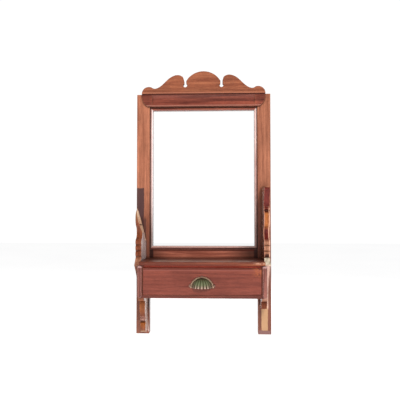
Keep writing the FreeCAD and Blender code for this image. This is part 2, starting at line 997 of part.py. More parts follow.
def hood_ring(level, facets, wall, groove):
    """Corners round one level of the hood: outward ribs with grooves between."""
    turn_up = math.radians(hood_top_angle) * level / hood_levels
    shrink = math.cos(turn_up)
    height = pull_z() + (hood_height - wall) * math.sin(turn_up)
    back = ahead(case_depth)
    corners = []
    for index in range(rib_total * facets + 1):
        turn = math.pi * index / (rib_total * facets)
        loss = wall + groove * (1 - abs(math.sin(rib_total * turn)))
        across = (hood_half_width - loss) * shrink * math.cos(turn)
        out = (hood_reach - loss) * shrink * math.sin(turn)
        corners.append(V(across, back - out, height))
    return corners


def flat_face(corners):
    return Part.Face(Part.makePolygon(corners + corners[:1]))


def hood(facets, wall=0.0, groove=0.0):
    """A half-oval hood that closes in on its crown, set in by a wall."""
    rings = [hood_ring(level, facets, wall, groove) for level in range(hood_levels + 1)]
    faces = [flat_face(rings[0]), flat_face(rings[-1])]
    for low, high in zip(rings, rings[1:]):
        for index in range(len(low)):
            faces.append(flat_face([low[index - 1], low[index], high[index], high[index - 1]]))
    return Part.makeSolid(Part.makeShell(faces))


def pull_rim():
    """The raised rim along the curved edge of the plate, bevelled outside."""
    back = ahead(case_depth)
    outer = pull_plate_radius
    inner = outer - pull_rim_width
    face = closed_face(
        lambda point: V(point[0], back - point[1], pull_arc_z()),
        (inner, 0),
        (outer, 0),
        (outer, pull_rim_front - pull_rim_bevel),
        (outer - pull_rim_bevel, pull_rim_front),
        (inner + pull_rim_bevel, pull_rim_front),
        (inner, pull_plate_thickness),
    )
    ring = face.revolve(V(0, back, pull_arc_z()), V(0, 1, 0), -180)
    below = block((-outer, outer), (back, back - outer), (pull_arc_z(), pull_z()))
    return ring.cut(below)


def pull_pin_shanks(grow=0.0):
    """The shanks of the pins, one through each lug into the drawer front."""
    seat = ahead(case_depth + pull_ear_thickness)
    radius = pull_pin_radius + grow
    return [stem(x, z, seat, radius, seat + pull_pin_length, radius) for x, z in ear_places()]


def pull_pins():
    """The three pins with their raised heads."""
    seat = ahead(case_depth + pull_ear_thickness)
    crown = seat - pull_pin_head_rise
    pins = []
    for shank, (x, z) in zip(pull_pin_shanks(), ear_places()):
        head = stem(x, z, seat, pull_pin_head_radius, crown, pull_pin_radius)
        pins.append(shank.fuse(head))
    return Part.makeCompound(pins)


def shell_pull():
    """A cast brass cup pull: crescent plate, raised rim and fluted hood."""
    back = ahead(case_depth)
    rise = pull_z() - pull_arc_z()
    reach = math.sqrt(pull_plate_radius**2 - rise**2)
    plate = closed_face(
        front_view(back),
        (-reach, pull_z()),
        ((0, pull_arc_z() + pull_plate_radius), (reach, pull_z())),
    ).extrude(V(0, -pull_plate_thickness, 0))
    ears = [
        along_y(pull_ear_radius, x, z, back, back - pull_ear_thickness) for x, z in ear_places()
    ]
    behind = block(
        (-2 * reach, 2 * reach),
        (back, back + 2 * reach),
        (pull_z() - reach, pull_z() + 2 * reach),
    )
    shell = hood(rib_facets, groove=valley_depth)
    body = plate.fuse([pull_rim(), shell] + ears)
    hollow = hood(hollow_facets, wall=hood_wall)
    return body.cut([hollow, behind] + pull_pin_shanks(metal_play))


def write(name, shape):
    shape.exportStep(f"parts/{name}.step")


def main():
    os.makedirs("parts", exist_ok=True)
    pairs = {
        "stile": right_stile(),
        "case_side": right_case_side(),
        "front_strip": front_strip(),
        "drawer_side": right_drawer_side(),
        "hanging_plate": hanging_plate(),
        "sight_slip": mirrored(left_slip()),
    }
    for name, right in pairs.items():
        write("right_" + name, right)
        write("left_" + name, mirrored(right))
    singles = {
        "top_rail": top_rail(),
        "bottom_rail": bottom_rail(),
        "top_sight_slip": top_slip(),
        "bottom_sight_slip": bottom_slip(),
        "mirror_glass": mirror_glass(),
        "backing_board": backing_board(),
        "glazing_sprigs": glazing_sprigs(),
        "header_moulding": header_moulding(),
        "crest_board": crest_board(),
        "crest_tongues": crest_tongues(),
        "case_top": case_top(),
        "case_bottom": case_bottom(),
        "case_back": case_back(),
        "case_front_rail": case_front_rail(),
        "drawer_stops": drawer_stops(),
        "right_upper_bracket": whole_upper_bracket(),
        "left_upper_bracket": mirrored(broken_upper_bracket()),
        "left_lower_bracket": mirrored(whole_lower_bracket()),
        "right_lower_bracket": lower_bracket_stub(),
        "drawer_front": drawer_front(),
        "drawer_back": drawer_back(),
        "drawer_bottom": drawer_bottom(),
        "shell_pull": shell_pull(),
        "pull_pins": pull_pins(),
        "upper_bracket_nails": nail_pairs(upper_nail_places()),
        "lower_bracket_nails": nail_pairs(lower_nail_places()),
        "case_nails": nail_pairs(case_nail_places()),
        "hanging_plate_screws": plate_screws(),
    }
    for name, shape in singles.items():
        write(name, shape)


main()
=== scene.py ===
import math

import bmesh
import bpy
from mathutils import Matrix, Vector, noise


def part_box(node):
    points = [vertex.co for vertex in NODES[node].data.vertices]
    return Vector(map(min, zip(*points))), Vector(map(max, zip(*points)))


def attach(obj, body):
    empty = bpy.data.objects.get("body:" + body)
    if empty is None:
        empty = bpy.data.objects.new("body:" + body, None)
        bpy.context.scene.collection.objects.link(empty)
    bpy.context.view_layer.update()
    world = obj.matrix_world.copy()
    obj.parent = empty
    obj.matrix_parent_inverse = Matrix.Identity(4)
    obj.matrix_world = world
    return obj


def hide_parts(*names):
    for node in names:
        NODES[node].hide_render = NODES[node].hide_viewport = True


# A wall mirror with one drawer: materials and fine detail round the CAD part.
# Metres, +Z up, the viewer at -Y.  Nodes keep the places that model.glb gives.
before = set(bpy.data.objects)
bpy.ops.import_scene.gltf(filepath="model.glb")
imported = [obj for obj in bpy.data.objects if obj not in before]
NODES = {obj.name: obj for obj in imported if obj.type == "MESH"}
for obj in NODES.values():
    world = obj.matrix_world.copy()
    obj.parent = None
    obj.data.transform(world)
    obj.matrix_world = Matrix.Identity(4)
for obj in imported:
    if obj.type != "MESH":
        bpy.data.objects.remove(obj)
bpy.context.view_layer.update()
FIXED = "frame_and_case"
DRAWER = "drawer"


# Camera and light

EYE = (0.0348, -1.1155, -0.2173)
AIM = (-0.0078, -0.02, -0.1848)
LENS = 43.27
SENSOR_WIDTH = 36.0
FLOOR_Z = -0.70
FLOOR_SIZE = 14.0
PLAIN_WHITE = 1.05  # the surroundings as the eye and the mirror see them
SURROUND_LIGHT = 0.42  # as they light matt surfaces
SHEEN_LIGHT = 0.30  # as they show in gloss
FLOOR_GLOW = 0.56
LIT_POINT = (0.0, 0.0, -0.2)
LAMPS = {  # place, size, power and colour
    "key": ((0.32, -1.85, 0.62), 0.6, 27.0, (1.0, 0.985, 0.96)),
    "back": ((0.5, 1.9, 0.9), 1.6, 14.0, (1.0, 1.0, 1.0)),
}


def look_at(thing, target):
    """Turns a camera or a light towards a point."""
    away = thing.location - Vector(target)
    thing.rotation_euler = away.to_track_quat("Z", "Y").to_euler()


def make_camera():
    data = bpy.data.cameras.new("camera")
    data.lens = LENS
    data.sensor_width = SENSOR_WIDTH
    camera = bpy.data.objects.new("camera", data)
    bpy.context.scene.collection.objects.link(camera)
    camera.location = EYE
    look_at(camera, AIM)
    bpy.context.scene.camera = camera


def area_light(name, place, size, power, colour):
    """A soft lamp that lights the object and stays out of its reflections."""
    data = bpy.data.lights.new(name, "AREA")
    data.size = size
    data.energy = power
    data.color = colour
    light = bpy.data.objects.new(name, data)
    bpy.context.scene.collection.objects.link(light)
    light.location = place
    light.visible_glossy = False
    look_at(light, LIT_POINT)


def make_lights():
    for name, lamp in LAMPS.items():
        area_light(name, *lamp)


def make_world():
    """White to the eye and in the mirror, and a softer light on the object."""
    world = bpy.data.worlds.new("studio")
    bpy.context.scene.world = world
    world.use_nodes = True
    tree = world.node_tree
    backdrop = tree.nodes["Background"]
    backdrop.inputs["Color"].default_value = (1.0, 1.0, 1.0, 1.0)
    path = tree.nodes.new("ShaderNodeLightPath")
    straight = tree.nodes.new("ShaderNodeMath")
    straight.operation = "MAXIMUM"
    tree.links.new(path.outputs["Is Camera Ray"], straight.inputs[0])
    tree.links.new(path.outputs["Is Singular Ray"], straight.inputs[1])
    soft = tree.nodes.new("ShaderNodeMapRange")
    soft.inputs["To Min"].default_value = SURROUND_LIGHT
    soft.inputs["To Max"].default_value = SHEEN_LIGHT
    tree.links.new(path.outputs["Is Glossy Ray"], soft.inputs["Value"])
    strength = tree.nodes.new("ShaderNodeMapRange")
    strength.inputs["To Max"].default_value = PLAIN_WHITE
    tree.links.new(soft.outputs["Result"], strength.inputs["To Min"])
    tree.links.new(straight.outputs[0], strength.inputs["Value"])
    tree.links.new(strength.outputs["Result"], backdrop.inputs["Strength"])
    bpy.context.scene.view_settings.view_transform = "Standard"


def make_floor():
    mesh = bpy.data.meshes.new("floor")
    half = FLOOR_SIZE / 2
    corners = [(-half, -half), (half, -half), (half, half), (-half, half)]
    mesh.from_pydata([(x, y, FLOOR_Z) for x, y in corners], [], [(0, 1, 2, 3)])
    floor = bpy.data.objects.new("floor", mesh)
    bpy.context.scene.collection.objects.link(floor)
    graph = Graph("floor_paint")
    graph.constants(Roughness=0.9, Specular_IOR_Level=0.0, Emission_Strength=FLOOR_GLOW)
    graph.constants(Emission_Color=(1.0, 1.0, 1.0, 1.0))
    cloud = graph.noise(graph.place(), 1.4, 3)
    graph.colour(graph.ramp(cloud, [(0.3, (248, 248, 249)), (0.7, (253, 253, 253))]))
    mesh.materials.append(graph.material)


# Shader graphs


def linear(colour):
    """An sRGB colour, 0 to 255, as the linear colour that a shader takes."""
    parts = [c / 255 for c in colour]
    return [c / 12.92 if c <= 0.04045 else ((c + 0.055) / 1.055) ** 2.4 for c in parts] + [1.0]


class Graph:
    """One procedural material, built socket by socket."""

    def __init__(self, name):
        self.material = bpy.data.materials.new(name)
        self.material.use_nodes = True
        self.nodes = self.material.node_tree.nodes
        self.links = self.material.node_tree.links
        self.shader = self.nodes["Principled BSDF"]

    def node(self, kind, **settings):
        made = self.nodes.new("ShaderNode" + kind)
        for key, value in settings.items():
            setattr(made, key, value)
        return made

    def feed(self, socket, value):
        if isinstance(value, bpy.types.NodeSocket):
            self.links.new(value, socket)
        else:
            socket.default_value = value

    def constants(self, **values):
        """Values that are the same all over the surface, on the shader itself."""
        for key, value in values.items():
            self.shader.inputs[key.replace("_", " ")].default_value = value

    def colour(self, socket):
        self.links.new(socket, self.shader.inputs["Base Color"])

    def roughness(self, socket):
        self.links.new(socket, self.shader.inputs["Roughness"])

    def place(self):
        return self.node("TexCoord").outputs["Object"]

    def axis(self, name):
        """One coordinate of the point, in metres."""
        split = self.node("SeparateXYZ")
        self.links.new(self.place(), split.inputs[0])
        return split.outputs[name]

    def off_centre(self):
        """How far the point is from the middle plane, in metres."""
        return self.math("ABSOLUTE", self.axis("X"))

    def facing(self, name):
        """One coordinate of the flat surface's normal."""
        split = self.node("SeparateXYZ")
        self.links.new(self.node("NewGeometry").outputs["True Normal"], split.inputs[0])
        return split.outputs[name]

    def front(self):
        """1 on surfaces that face the viewer."""
        return self.step(self.facing("Y"), -0.5, -0.8)

    def stretched(self, scale, shift=(0, 0, 0)):
        mapping = self.node("Mapping")
        self.links.new(self.place(), mapping.inputs["Vector"])
        mapping.inputs["Scale"].default_value = scale
        mapping.inputs["Location"].default_value = shift
        return mapping.outputs[0]

    def noise(self, vector, scale, detail, rough=0.5, twist=0.0):
        made = self.node("TexNoise")
        self.links.new(vector, made.inputs["Vector"])
        made.inputs["Scale"].default_value = scale
        made.inputs["Detail"].default_value = detail
        made.inputs["Roughness"].default_value = rough
        made.inputs["Distortion"].default_value = twist
        return made.outputs["Fac"]

    def math(self, operation, first, second=0.0):
        made = self.node("Math", operation=operation)
        self.feed(made.inputs[0], first)
        self.feed(made.inputs[1], second)
        return made.outputs[0]

    def step(self, value, low, high, start=0.0, end=1.0, kind="SMOOTHSTEP"):
        """A change from start to end as value goes from low to high."""
        made = self.node("MapRange", interpolation_type=kind)
        self.links.new(value, made.inputs["Value"])
        made.inputs["From Min"].default_value = low
        made.inputs["From Max"].default_value = high
        made.inputs["To Min"].default_value = start
        made.inputs["To Max"].default_value = end
        return made.outputs["Result"]

    def within(self, value, low, high, soft):
        """1 where value lies between low and high, with soft ends."""
        rise = self.step(value, low - soft, low + soft)
        fall = self.step(value, high - soft, high + soft, 1.0, 0.0)
        return self.math("MULTIPLY", rise, fall)

    def both(self, *masks):
        """1 where all the masks are 1."""
        result = masks[0]
        for mask in masks[1:]:
            result = self.math("MULTIPLY", result, mask)
        return result

    def ramp(self, factor, stops):
        """Colours along a factor: pairs of a place, 0 to 1, and an sRGB colour."""
        made = self.node("ValToRGB")
        self.links.new(factor, made.inputs["Fac"])
        points = made.color_ramp.elements
        while len(points) < len(stops):
            points.new(0.5)
        for point, (position, colour) in zip(points, stops):
            point.position = position
            point.color = linear(colour)
        return made.outputs["Color"]

    def by_height(self, stops):
        """Colours by height: pairs of a height in millimetres and a colour, from the lowest up."""
        low, high = stops[0][0], stops[-1][0]
        share = self.step(self.axis("Z"), low / 1000, high / 1000, kind="LINEAR")
        return self.ramp(share, [((z - low) / (high - low), colour) for z, colour in stops])

    def mix(self, factor, under, over, blend="MIX"):
        made = self.node("Mix", data_type="RGBA", blend_type=blend)
        self.feed(made.inputs[0], factor)
        self.feed(made.inputs[6], under)
        self.feed(made.inputs[7], over)
        return made.outputs[2]

    def tint(self, factor, under, colour):
        return self.mix(factor, under, linear(colour))

    def darken(self, factor, under, level):
        """Multiplies a colour by a grey where factor is 1."""
        return self.mix(factor, under, (level, level, level, 1.0), "MULTIPLY")

    def crevices(self, reach):
        """1 deep in inside corners, 0 on open surfaces."""
        made = self.node("AmbientOcclusion", samples=6)
        made.inputs["Distance"].default_value = reach
        return self.step(made.outputs["AO"], 0.35, 0.95, 1.0, 0.0)

    def edges(self, radius):
        """1 on outer edges, from how far a rounded normal turns there."""
        rounded = self.node("Bevel", samples=4)
        rounded.inputs["Radius"].default_value = radius
        flat = self.node("NewGeometry")
        dot = self.node("VectorMath", operation="DOT_PRODUCT")
        self.links.new(rounded.outputs[0], dot.inputs[0])
        self.links.new(flat.outputs["Normal"], dot.inputs[1])
        return self.step(dot.outputs["Value"], 0.86, 0.99, 1.0, 0.0)

    def bump(self, height, distance):
        made = self.node("Bump")
        made.inputs["Distance"].default_value = distance
        made.inputs["Strength"].default_value = 1.0
        self.links.new(height, made.inputs["Height"])
        self.links.new(made.outputs[0], self.shader.inputs["Normal"])


# Woods

ALONG = {"x": (0.045, 1.0, 1.0), "y": (1.0, 0.045, 1.0), "z": (1.0, 1.0, 0.045)}
PORE_ALONG = {"x": (0.1, 1.0, 1.0), "y": (1.0, 0.1, 1.0), "z": (1.0, 1.0, 0.1)}
SEED_SHIFT = (0.37, 0.53, 0.71)
STREAK_SCALE = 170.0
FIBRE_SCALE = 1400.0
PORE_SCALE = 2100.0
BLOTCH_SCALE = 21.0
WEAR_SCALE = 160.0
TEAR_SCALE = 420.0
WOOD_RELIEF = 0.00022
TORN_RELIEF = 0.0004
COAT = 0.12
SLIP_COAT = 0.4
COAT_ROUGHNESS = 0.22

# Each finish: its dark and its light sRGB colour, 0 to 255, its roughness, and
# how wide the streaks are
FINISH = {
    "stile": ((150, 90, 66), (200, 129, 98), 0.46, 1.0),
    "rail_top": ((104, 50, 42), (200, 129, 98), 0.42, 1.0),
    "rail_bottom": ((150, 80, 62), (212, 130, 104), 0.42, 1.0),
    "header": ((90, 39, 30), (148, 76, 58), 0.36, 1.0),
    "crest": ((132, 70, 48), (172, 104, 73), 0.42, 1.0),
    "case_side": ((104, 50, 40), (152, 80, 62), 0.42, 1.0),
    "case_top": ((96, 42, 32), (148, 80, 56), 0.34, 1.0),
    "case_bottom": ((84, 36, 28), (128, 64, 50), 0.42, 1.0),
    "case_rail": ((160, 50, 26), (220, 82, 50), 0.42, 1.0),
    "strip": ((82, 37, 32), (151, 91, 79), 0.3, 0.55),
    "slip_upright": ((186, 136, 126), (240, 208, 200), 0.25, 1.0),
    "slip_top": ((124, 64, 50), (176, 104, 82), 0.25, 1.0),
    "slip_bottom": ((140, 84, 74), (206, 134, 120), 0.25, 1.0),
    "drawer_front": ((110, 48, 36), (150, 75, 58), 0.38, 1.25),
    "bracket": ((190, 182, 176), (255, 255, 255), 0.42, 1.0),
    "bare": ((170, 128, 88), (214, 176, 132), 0.68, 1.0),
    "torn": ((204, 148, 112), (255, 222, 190), 0.75, 0.8),
}
RUBBED = (205, 140, 98)
RUBBED_SAWN = (222, 164, 134)
SCAR_AND_SHADE = (70, 46, 48)
TAN = (196, 152, 112)


class Wood(Graph):
    """Stained or bare wood, with its grain along one axis."""

    def __init__(self, name, grain, finish, seed):
        super().__init__(name)
        dark, light, self.gloss, streak = FINISH[finish]
        shift = tuple(seed * step for step in SEED_SHIFT)
        fibre_place = self.stretched(ALONG[grain], shift)
        pore_place = self.stretched(PORE_ALONG[grain], shift)
        blotch_place = self.stretched((1.0, 1.0, 1.0), shift)
        self.streaks = self.noise(fibre_place, STREAK_SCALE, 4.0, 0.62, 0.35)
        self.fibres = self.noise(fibre_place, FIBRE_SCALE, 3.0, 0.7)
        self.pores = self.noise(pore_place, PORE_SCALE, 1.0, 0.5)
        self.blotch = self.noise(blotch_place, BLOTCH_SCALE, 3.0, 0.6)
        spread = 0.16 * streak
        self.tone = self.ramp(self.streaks, [(0.5 - spread, dark), (0.5 + spread, light)])
        fibrous = self.step(self.fibres, 0.4, 0.68, 0.0, 0.3)
        self.tone = self.mix(fibrous, self.tone, linear(dark), "MULTIPLY")
        self.shade(self.step(self.pores, 0.6, 0.72, 0.0, 0.5), 0.35)
        self.shade(self.step(self.blotch, 0.38, 0.72, 0.0, 0.42), 0.62)

    def shade(self, mask, level):
        """Multiplies the tone by a level where the mask is 1."""
        self.tone = self.darken(mask, self.tone, level)

    def corner_dirt_and_shade(self, reach=0.006, level=0.28, amount=0.85):
        """Dirt and painted shade in the inside corners, darkest where they are most enclosed."""
        self.shade(self.math("MULTIPLY", self.crevices(reach), amount), level)

    def wear(self, colour, radius=0.0012, amount=0.6):
        """Edges rubbed back to paler wood, more in some places than others."""
        patchy = self.noise(self.place(), WEAR_SCALE, 3.0, 0.7)
        worn = self.step(patchy, 0.38, 0.6, 0.15, amount)
        self.tone = self.tint(self.math("MULTIPLY", self.edges(radius), worn), self.tone, colour)

    def patch(self, mask, colour, amount):
        self.tone = self.tint(self.math("MULTIPLY", mask, amount), self.tone, colour)

    def front_patch(self, masks, colour, amount):
        """A patch on the surfaces that face the viewer, where all the masks meet."""
        self.patch(self.both(*masks, self.front()), colour, amount)

    def lines(self, rows):
        """Level lines: rows of low, high, softness, colour and amount."""
        for low, high, soft, colour, amount in rows:
            self.patch(self.within(self.axis("Z"), low, high, soft), colour, amount)

    def ragged(self, axis, low, high, soft, tear=0.0012):
        """A band along one axis with torn edges."""
        roughened = self.noise(self.stretched((1.0, 1.0, 0.25)), TEAR_SCALE, 3.0, 0.7)
        shift = self.math("MULTIPLY", self.math("SUBTRACT", roughened, 0.5), 4 * tear)
        return self.within(self.math("ADD", self.axis(axis), shift), low, high, soft)

    def done(self, relief=WOOD_RELIEF, coat=COAT):
        """Joins the tone, the relief and the gloss to the shader."""
        streaks = self.math("MULTIPLY", self.streaks, 0.5)
        height = self.math("ADD", streaks, self.math("MULTIPLY", self.fibres, 0.35))
        height = self.math("SUBTRACT", height, self.step(self.pores, 0.58, 0.72, 0.0, 0.5))
        self.bump(height, relief)
        self.colour(self.tone)
        cloudy = self.step(self.blotch, 0.3, 0.7, -0.06, 0.14)
        self.roughness(self.math("ADD", cloudy, self.gloss))
        self.constants(
            Coat_Weight=coat, Coat_Roughness=COAT_ROUGHNESS, Specular_IOR_Level=0.3
        )
        return self.material


# The stiles.  Where a tone runs from a first place to a second, both are given;
# marks have a band across (X) and a band along (Z)

STILE_DARKENS = (-0.12, -0.34)
STILE_REDDENS = (-0.14, -0.34)
STILE_INNER_SIDE = (0.1300, 0.1245)
BESIDE_CASE = (-0.40, -0.17)
HORN_SCAR = ((-0.1535, -0.1362), (-0.30, -0.1574))
CASE_SHADOW_ON_LEG = ((-0.1300, -0.1280), (-0.432, -0.390))
BESIDE_BRACKET = ((-0.1360, -0.1308), (-0.316, -0.225))
LEG_CHAFE = ((-0.1713, -0.1690), (-0.482, -0.426))
LEG_CHAFE_SLANT = 0.094
SCROLL_SCAR = ((0.1308, 0.1452), (-0.4790, -0.4245))
SCROLL_SCAR_FOOT = (-0.49, -0.4790)
BESIDE_SCROLL = ((0.1268, 0.1304), (-0.474, -0.395))
CASE_CHAFE = ((0.1442, 0.1462), (-0.43, -0.325))


def stile(name, seed, marks, level, dirt_and_shade):
    """A stile: darker and redder low down, with dirt and a painted shadow on its inner side by the
    case.
    """
    wood = Wood(name, "z", "stile", seed)
    # Painted shade: the level makes the right stile darker than the left, to offset the key lamp
    # on its side
    wood.shade(1.0, level)
    wood.shade(wood.step(wood.axis("Z"), *STILE_DARKENS, 0.0, 0.6), 0.6)
    reddened = wood.step(wood.axis("Z"), *STILE_REDDENS, 0.0, 0.45)
    wood.tone = wood.tint(reddened, wood.tone, (112, 60, 52))
    # Dirt and a painted shadow of the bracket on the inner side by the case, stronger on the right
    # stile
    inner_side = wood.step(wood.off_centre(), *STILE_INNER_SIDE)
    beside_case = wood.within(wood.axis("Z"), *BESIDE_CASE, 0.05)
    wood.patch(wood.both(inner_side, beside_case), (84, 40, 36), dirt_and_shade)
    marks(wood)
    wood.wear(RUBBED, amount=0.5)
    wood.corner_dirt_and_shade()
    return wood.done()


def left_marks(wood):
    """Dark glue where the horn stood, a painted shadow under the case, dirt and painted shade
    beside the bracket, and a chafed line on the leg.
    """
    across, along = HORN_SCAR
    scar = (wood.ragged("X", *across, 0.0005), wood.ragged("Z", *along, 0.0008))
    wood.front_patch(scar, SCAR_AND_SHADE, 0.92)
    # A painted shadow under the case. This tone isn't kept to the front, so it shows on the leg's
    # inner side
    across, along = CASE_SHADOW_ON_LEG
    right_part = wood.step(wood.axis("X"), *across)
    level = wood.within(wood.axis("Z"), *along, 0.010)
    wood.patch(wood.both(right_part, level), (56, 30, 28), 0.8)
    # Dirt and painted shade on the stile beside the bracket, in the scar's colour
    across, along = BESIDE_BRACKET
    dirt_and_shade = (wood.ragged("X", *across, 0.0005), wood.within(wood.axis("Z"), *along, 0.006))
    wood.front_patch(dirt_and_shade, SCAR_AND_SHADE, 0.7)
    across, along = LEG_CHAFE
    lean = wood.math("MULTIPLY", wood.axis("Z"), LEG_CHAFE_SLANT)
    line = wood.within(wood.math("ADD", wood.axis("X"), lean), *across, 0.0004)
    wood.front_patch((line, wood.within(wood.axis("Z"), *along, 0.003)), (240, 212, 202), 0.75)


def right_marks(wood):
    """Bare wood where the lower scroll stood, dirt and a painted shadow beside the stub, and a
    pale line beside the case.
    """
    across, along = SCROLL_SCAR
    scar = (wood.ragged("X", *across, 0.0004, 0.0006), wood.ragged("Z", *along, 0.0006, 0.001))
    wood.front_patch(scar, TAN, 0.9)
    foot = wood.ragged("Z", *SCROLL_SCAR_FOOT, 0.0012, 0.0016)
    wood.front_patch((foot,), (138, 104, 102), 0.7)
    # Dirt and a painted shadow of the stub on the stile beside it
    across, along = BESIDE_SCROLL
    dirt_and_shade = (wood.ragged("X", *across, 0.0008, 0.0006), wood.within(wood.axis("Z"), *along, 0.004))
    wood.front_patch(dirt_and_shade, (78, 44, 36), 0.5)
    across, along = CASE_CHAFE
    line = (wood.ragged("X", *across, 0.0003, 0.0004), wood.within(wood.axis("Z"), *along, 0.004))
    wood.front_patch(line, (236, 196, 176), 0.85)


def plain_wood(name, grain, seed):
    """Stained wood, rubbed at its edges, with dirt and painted shade in its corners."""
    wood = Wood(name, grain, name, seed)
    wood.wear(RUBBED)
    wood.corner_dirt_and_shade()
    return wood.done()


def bare_wood(name, grain, seed):
    """Unfinished wood."""
    wood = Wood(name, grain, "bare", seed)
    wood.corner_dirt_and_shade(0.008, 0.35, 0.8)
    return wood.done(coat=0.0)


# The bottom rail, the header and the crest

RAIL_RIGHT_SHADOW = (0.046, 0.104)
RAIL_LEFT = (-0.075, -0.115)
RAIL_TOP_SHADE = (-0.3008, -0.2960)
RAIL_END_SHADE = (0.1135, 0.1150)
HEADER_TOP_SHADE = (0.046, 0.053)
HEADER_ENDS = (0.118, 0.126)
HEADER_FOOT_LIGHT = (0.044, 0.036)
# A painted shadow line under the crest, a painted highlight on the lower edge, and a painted shade
# line at the foot
HEADER_SHADE_AND_HIGHLIGHT_LINES = [
    (0.0562, 0.0585, 0.0004, (72, 26, 20), 0.85),
    (0.0302, 0.0326, 0.0006, (186, 128, 112), 0.5),
    (0.0284, 0.0296, 0.0003, (64, 28, 22), 0.8),
]
CREST_FOOT = (0.074, 0.064)
# A painted highlight on the lower arris, then a dark line at the joint with painted shade
CREST_LINES = [
    (0.0592, 0.0612, 0.0005, (184, 118, 92), 0.6),
    (0.0575, 0.0588, 0.0003, (92, 42, 30), 0.85),
]


def rail_wood():
    """The bottom rail: a painted shadow to the right, darker to the left, and painted shade along
    its top and at its ends.
    """
    wood = Wood("rail_bottom", "x", "rail_bottom", 4.0)
    wood.shade(wood.step(wood.axis("X"), *RAIL_RIGHT_SHADOW, kind="LINEAR"), 0.2)
    wood.shade(wood.step(wood.axis("X"), *RAIL_LEFT, kind="LINEAR"), 0.45)
    wood.patch(wood.ragged("Z", *RAIL_TOP_SHADE, 0.0004, 0.0004), (78, 26, 16), 0.9)
    wood.patch(wood.step(wood.off_centre(), *RAIL_END_SHADE), (44, 20, 18), 0.9)
    wood.wear(RUBBED, amount=0.5)
    wood.corner_dirt_and_shade()
    return wood.done()


def header_wood():
    """The header: painted shade at its top and painted light low down, where its hollow turns,
    darker at its ends, with a painted shadow line under the crest and a painted highlight and a
    painted shade line at its foot.
    """
    wood = Wood("header", "x", "header", 5.0)
    wood.shade(wood.step(wood.axis("Z"), *HEADER_TOP_SHADE), 0.8)
    wood.shade(wood.step(wood.off_centre(), *HEADER_ENDS), 0.82)
    wood.shade(wood.step(wood.axis("Z"), *HEADER_FOOT_LIGHT), 1.22)
    wood.lines(HEADER_SHADE_AND_HIGHLIGHT_LINES)
    wood.wear(RUBBED, amount=0.5)
    wood.corner_dirt_and_shade()
    return wood.done()


def crest_wood():
    """The crest, with a painted highlight on its lower arris and a dark line, with painted shade,
    at its joint with the header.
    """
    wood = Wood("crest", "x", "crest", 6.0)
    wood.shade(wood.step(wood.axis("Z"), *CREST_FOOT), 0.88)
    wood.lines(CREST_LINES)
    wood.wear((120, 84, 66), radius=0.0014, amount=0.55)
    wood.corner_dirt_and_shade()
    return wood.done()


# The case, the strips on its front, and the drawer's front

CORNER_WIDTH = 0.016
CORNER_HEIGHT = 0.014
TOP_BACK = (-0.088, -0.048)
TOP_BEHIND_EDGE = (-0.105, -0.075)
TOP_ENDS = (0.06, 0.11)
TOP_LOWER_EDGE = (-0.3245, -0.3207)
TOP_WARM_END = (0.05, 0.11)
TOP_CHAFED_ACROSS = (0.112, 0.085)
TOP_CHAFED_OUT = (-0.108, -0.088)
STRIP_TOP_HIGHLIGHT = (-0.3285, -0.3235)
DRAWER_HIGHLIGHT_LINE = (-0.3348, -0.3318, 0.0014, (166, 98, 86), 0.4)
DRAWER_SHADOW_LINE = (-0.3326, -0.3270)


def amber_corner(wood, left, low, colour):
    """Stain rubbed thin at the upper right corner of the case."""
    across = wood.step(wood.axis("X"), left, left + CORNER_WIDTH)
    up = wood.step(wood.axis("Z"), low, low + CORNER_HEIGHT)
    thin = wood.step(wood.noise(wood.place(), 260.0, 3.0, 0.7), 0.4, 0.58)
    wood.patch(wood.both(across, up, wood.front(), thin), colour, 0.7)


def top_wood():
    """The case top: painted shade and dirt towards its back, darker at its ends, a painted shadow
    along the foot of its nose, and chafed along its front edge.
    """
    wood = Wood("case_top", "x", "case_top", 12.0)
    # Painted shade and dirt towards the back, under the rail
    wood.shade(wood.step(wood.axis("Y"), *TOP_BACK), 0.62)
    ends = wood.step(wood.off_centre(), *TOP_ENDS, 0.0, 0.8)
    wood.shade(wood.both(ends, wood.step(wood.axis("Y"), *TOP_BEHIND_EDGE)), 0.55)
    amber_corner(wood, 0.100, -0.34, (206, 154, 126))
    # A painted shadow along the foot of the nose, warmer to the right
    shadowed = wood.both(wood.ragged("Z", *TOP_LOWER_EDGE, 0.0003, 0.0003), wood.front())
    wood.patch(shadowed, (100, 38, 24), 0.92)
    warm = wood.both(shadowed, wood.step(wood.axis("X"), *TOP_WARM_END))
    wood.patch(warm, (168, 92, 52), 0.6)
    middle = wood.step(wood.off_centre(), *TOP_CHAFED_ACROSS)
    edge = wood.within(wood.axis("Y"), *TOP_CHAFED_OUT, 0.004)
    chafing = wood.noise(wood.stretched((0.25, 1.0, 1.0)), 130.0, 3.0, 0.7)
    chafed = wood.both(middle, edge, wood.step(chafing, 0.38, 0.55))
    wood.patch(chafed, (222, 178, 130), 0.35)
    wood.wear(RUBBED, amount=0.4)
    wood.corner_dirt_and_shade()
    return wood.done()


def strip_wood():
    """The front strips, rubbed pale on their edges, with a painted highlight on their rounded
    tops.
    """
    wood = Wood("strip", "z", "strip", 15.0)
    wood.patch(wood.ragged("Z", *STRIP_TOP_HIGHLIGHT, 0.0012, 0.0008), (206, 164, 162), 0.6)
    wood.wear((230, 182, 172), radius=0.0018, amount=0.95)
    wood.corner_dirt_and_shade()
    return wood.done()


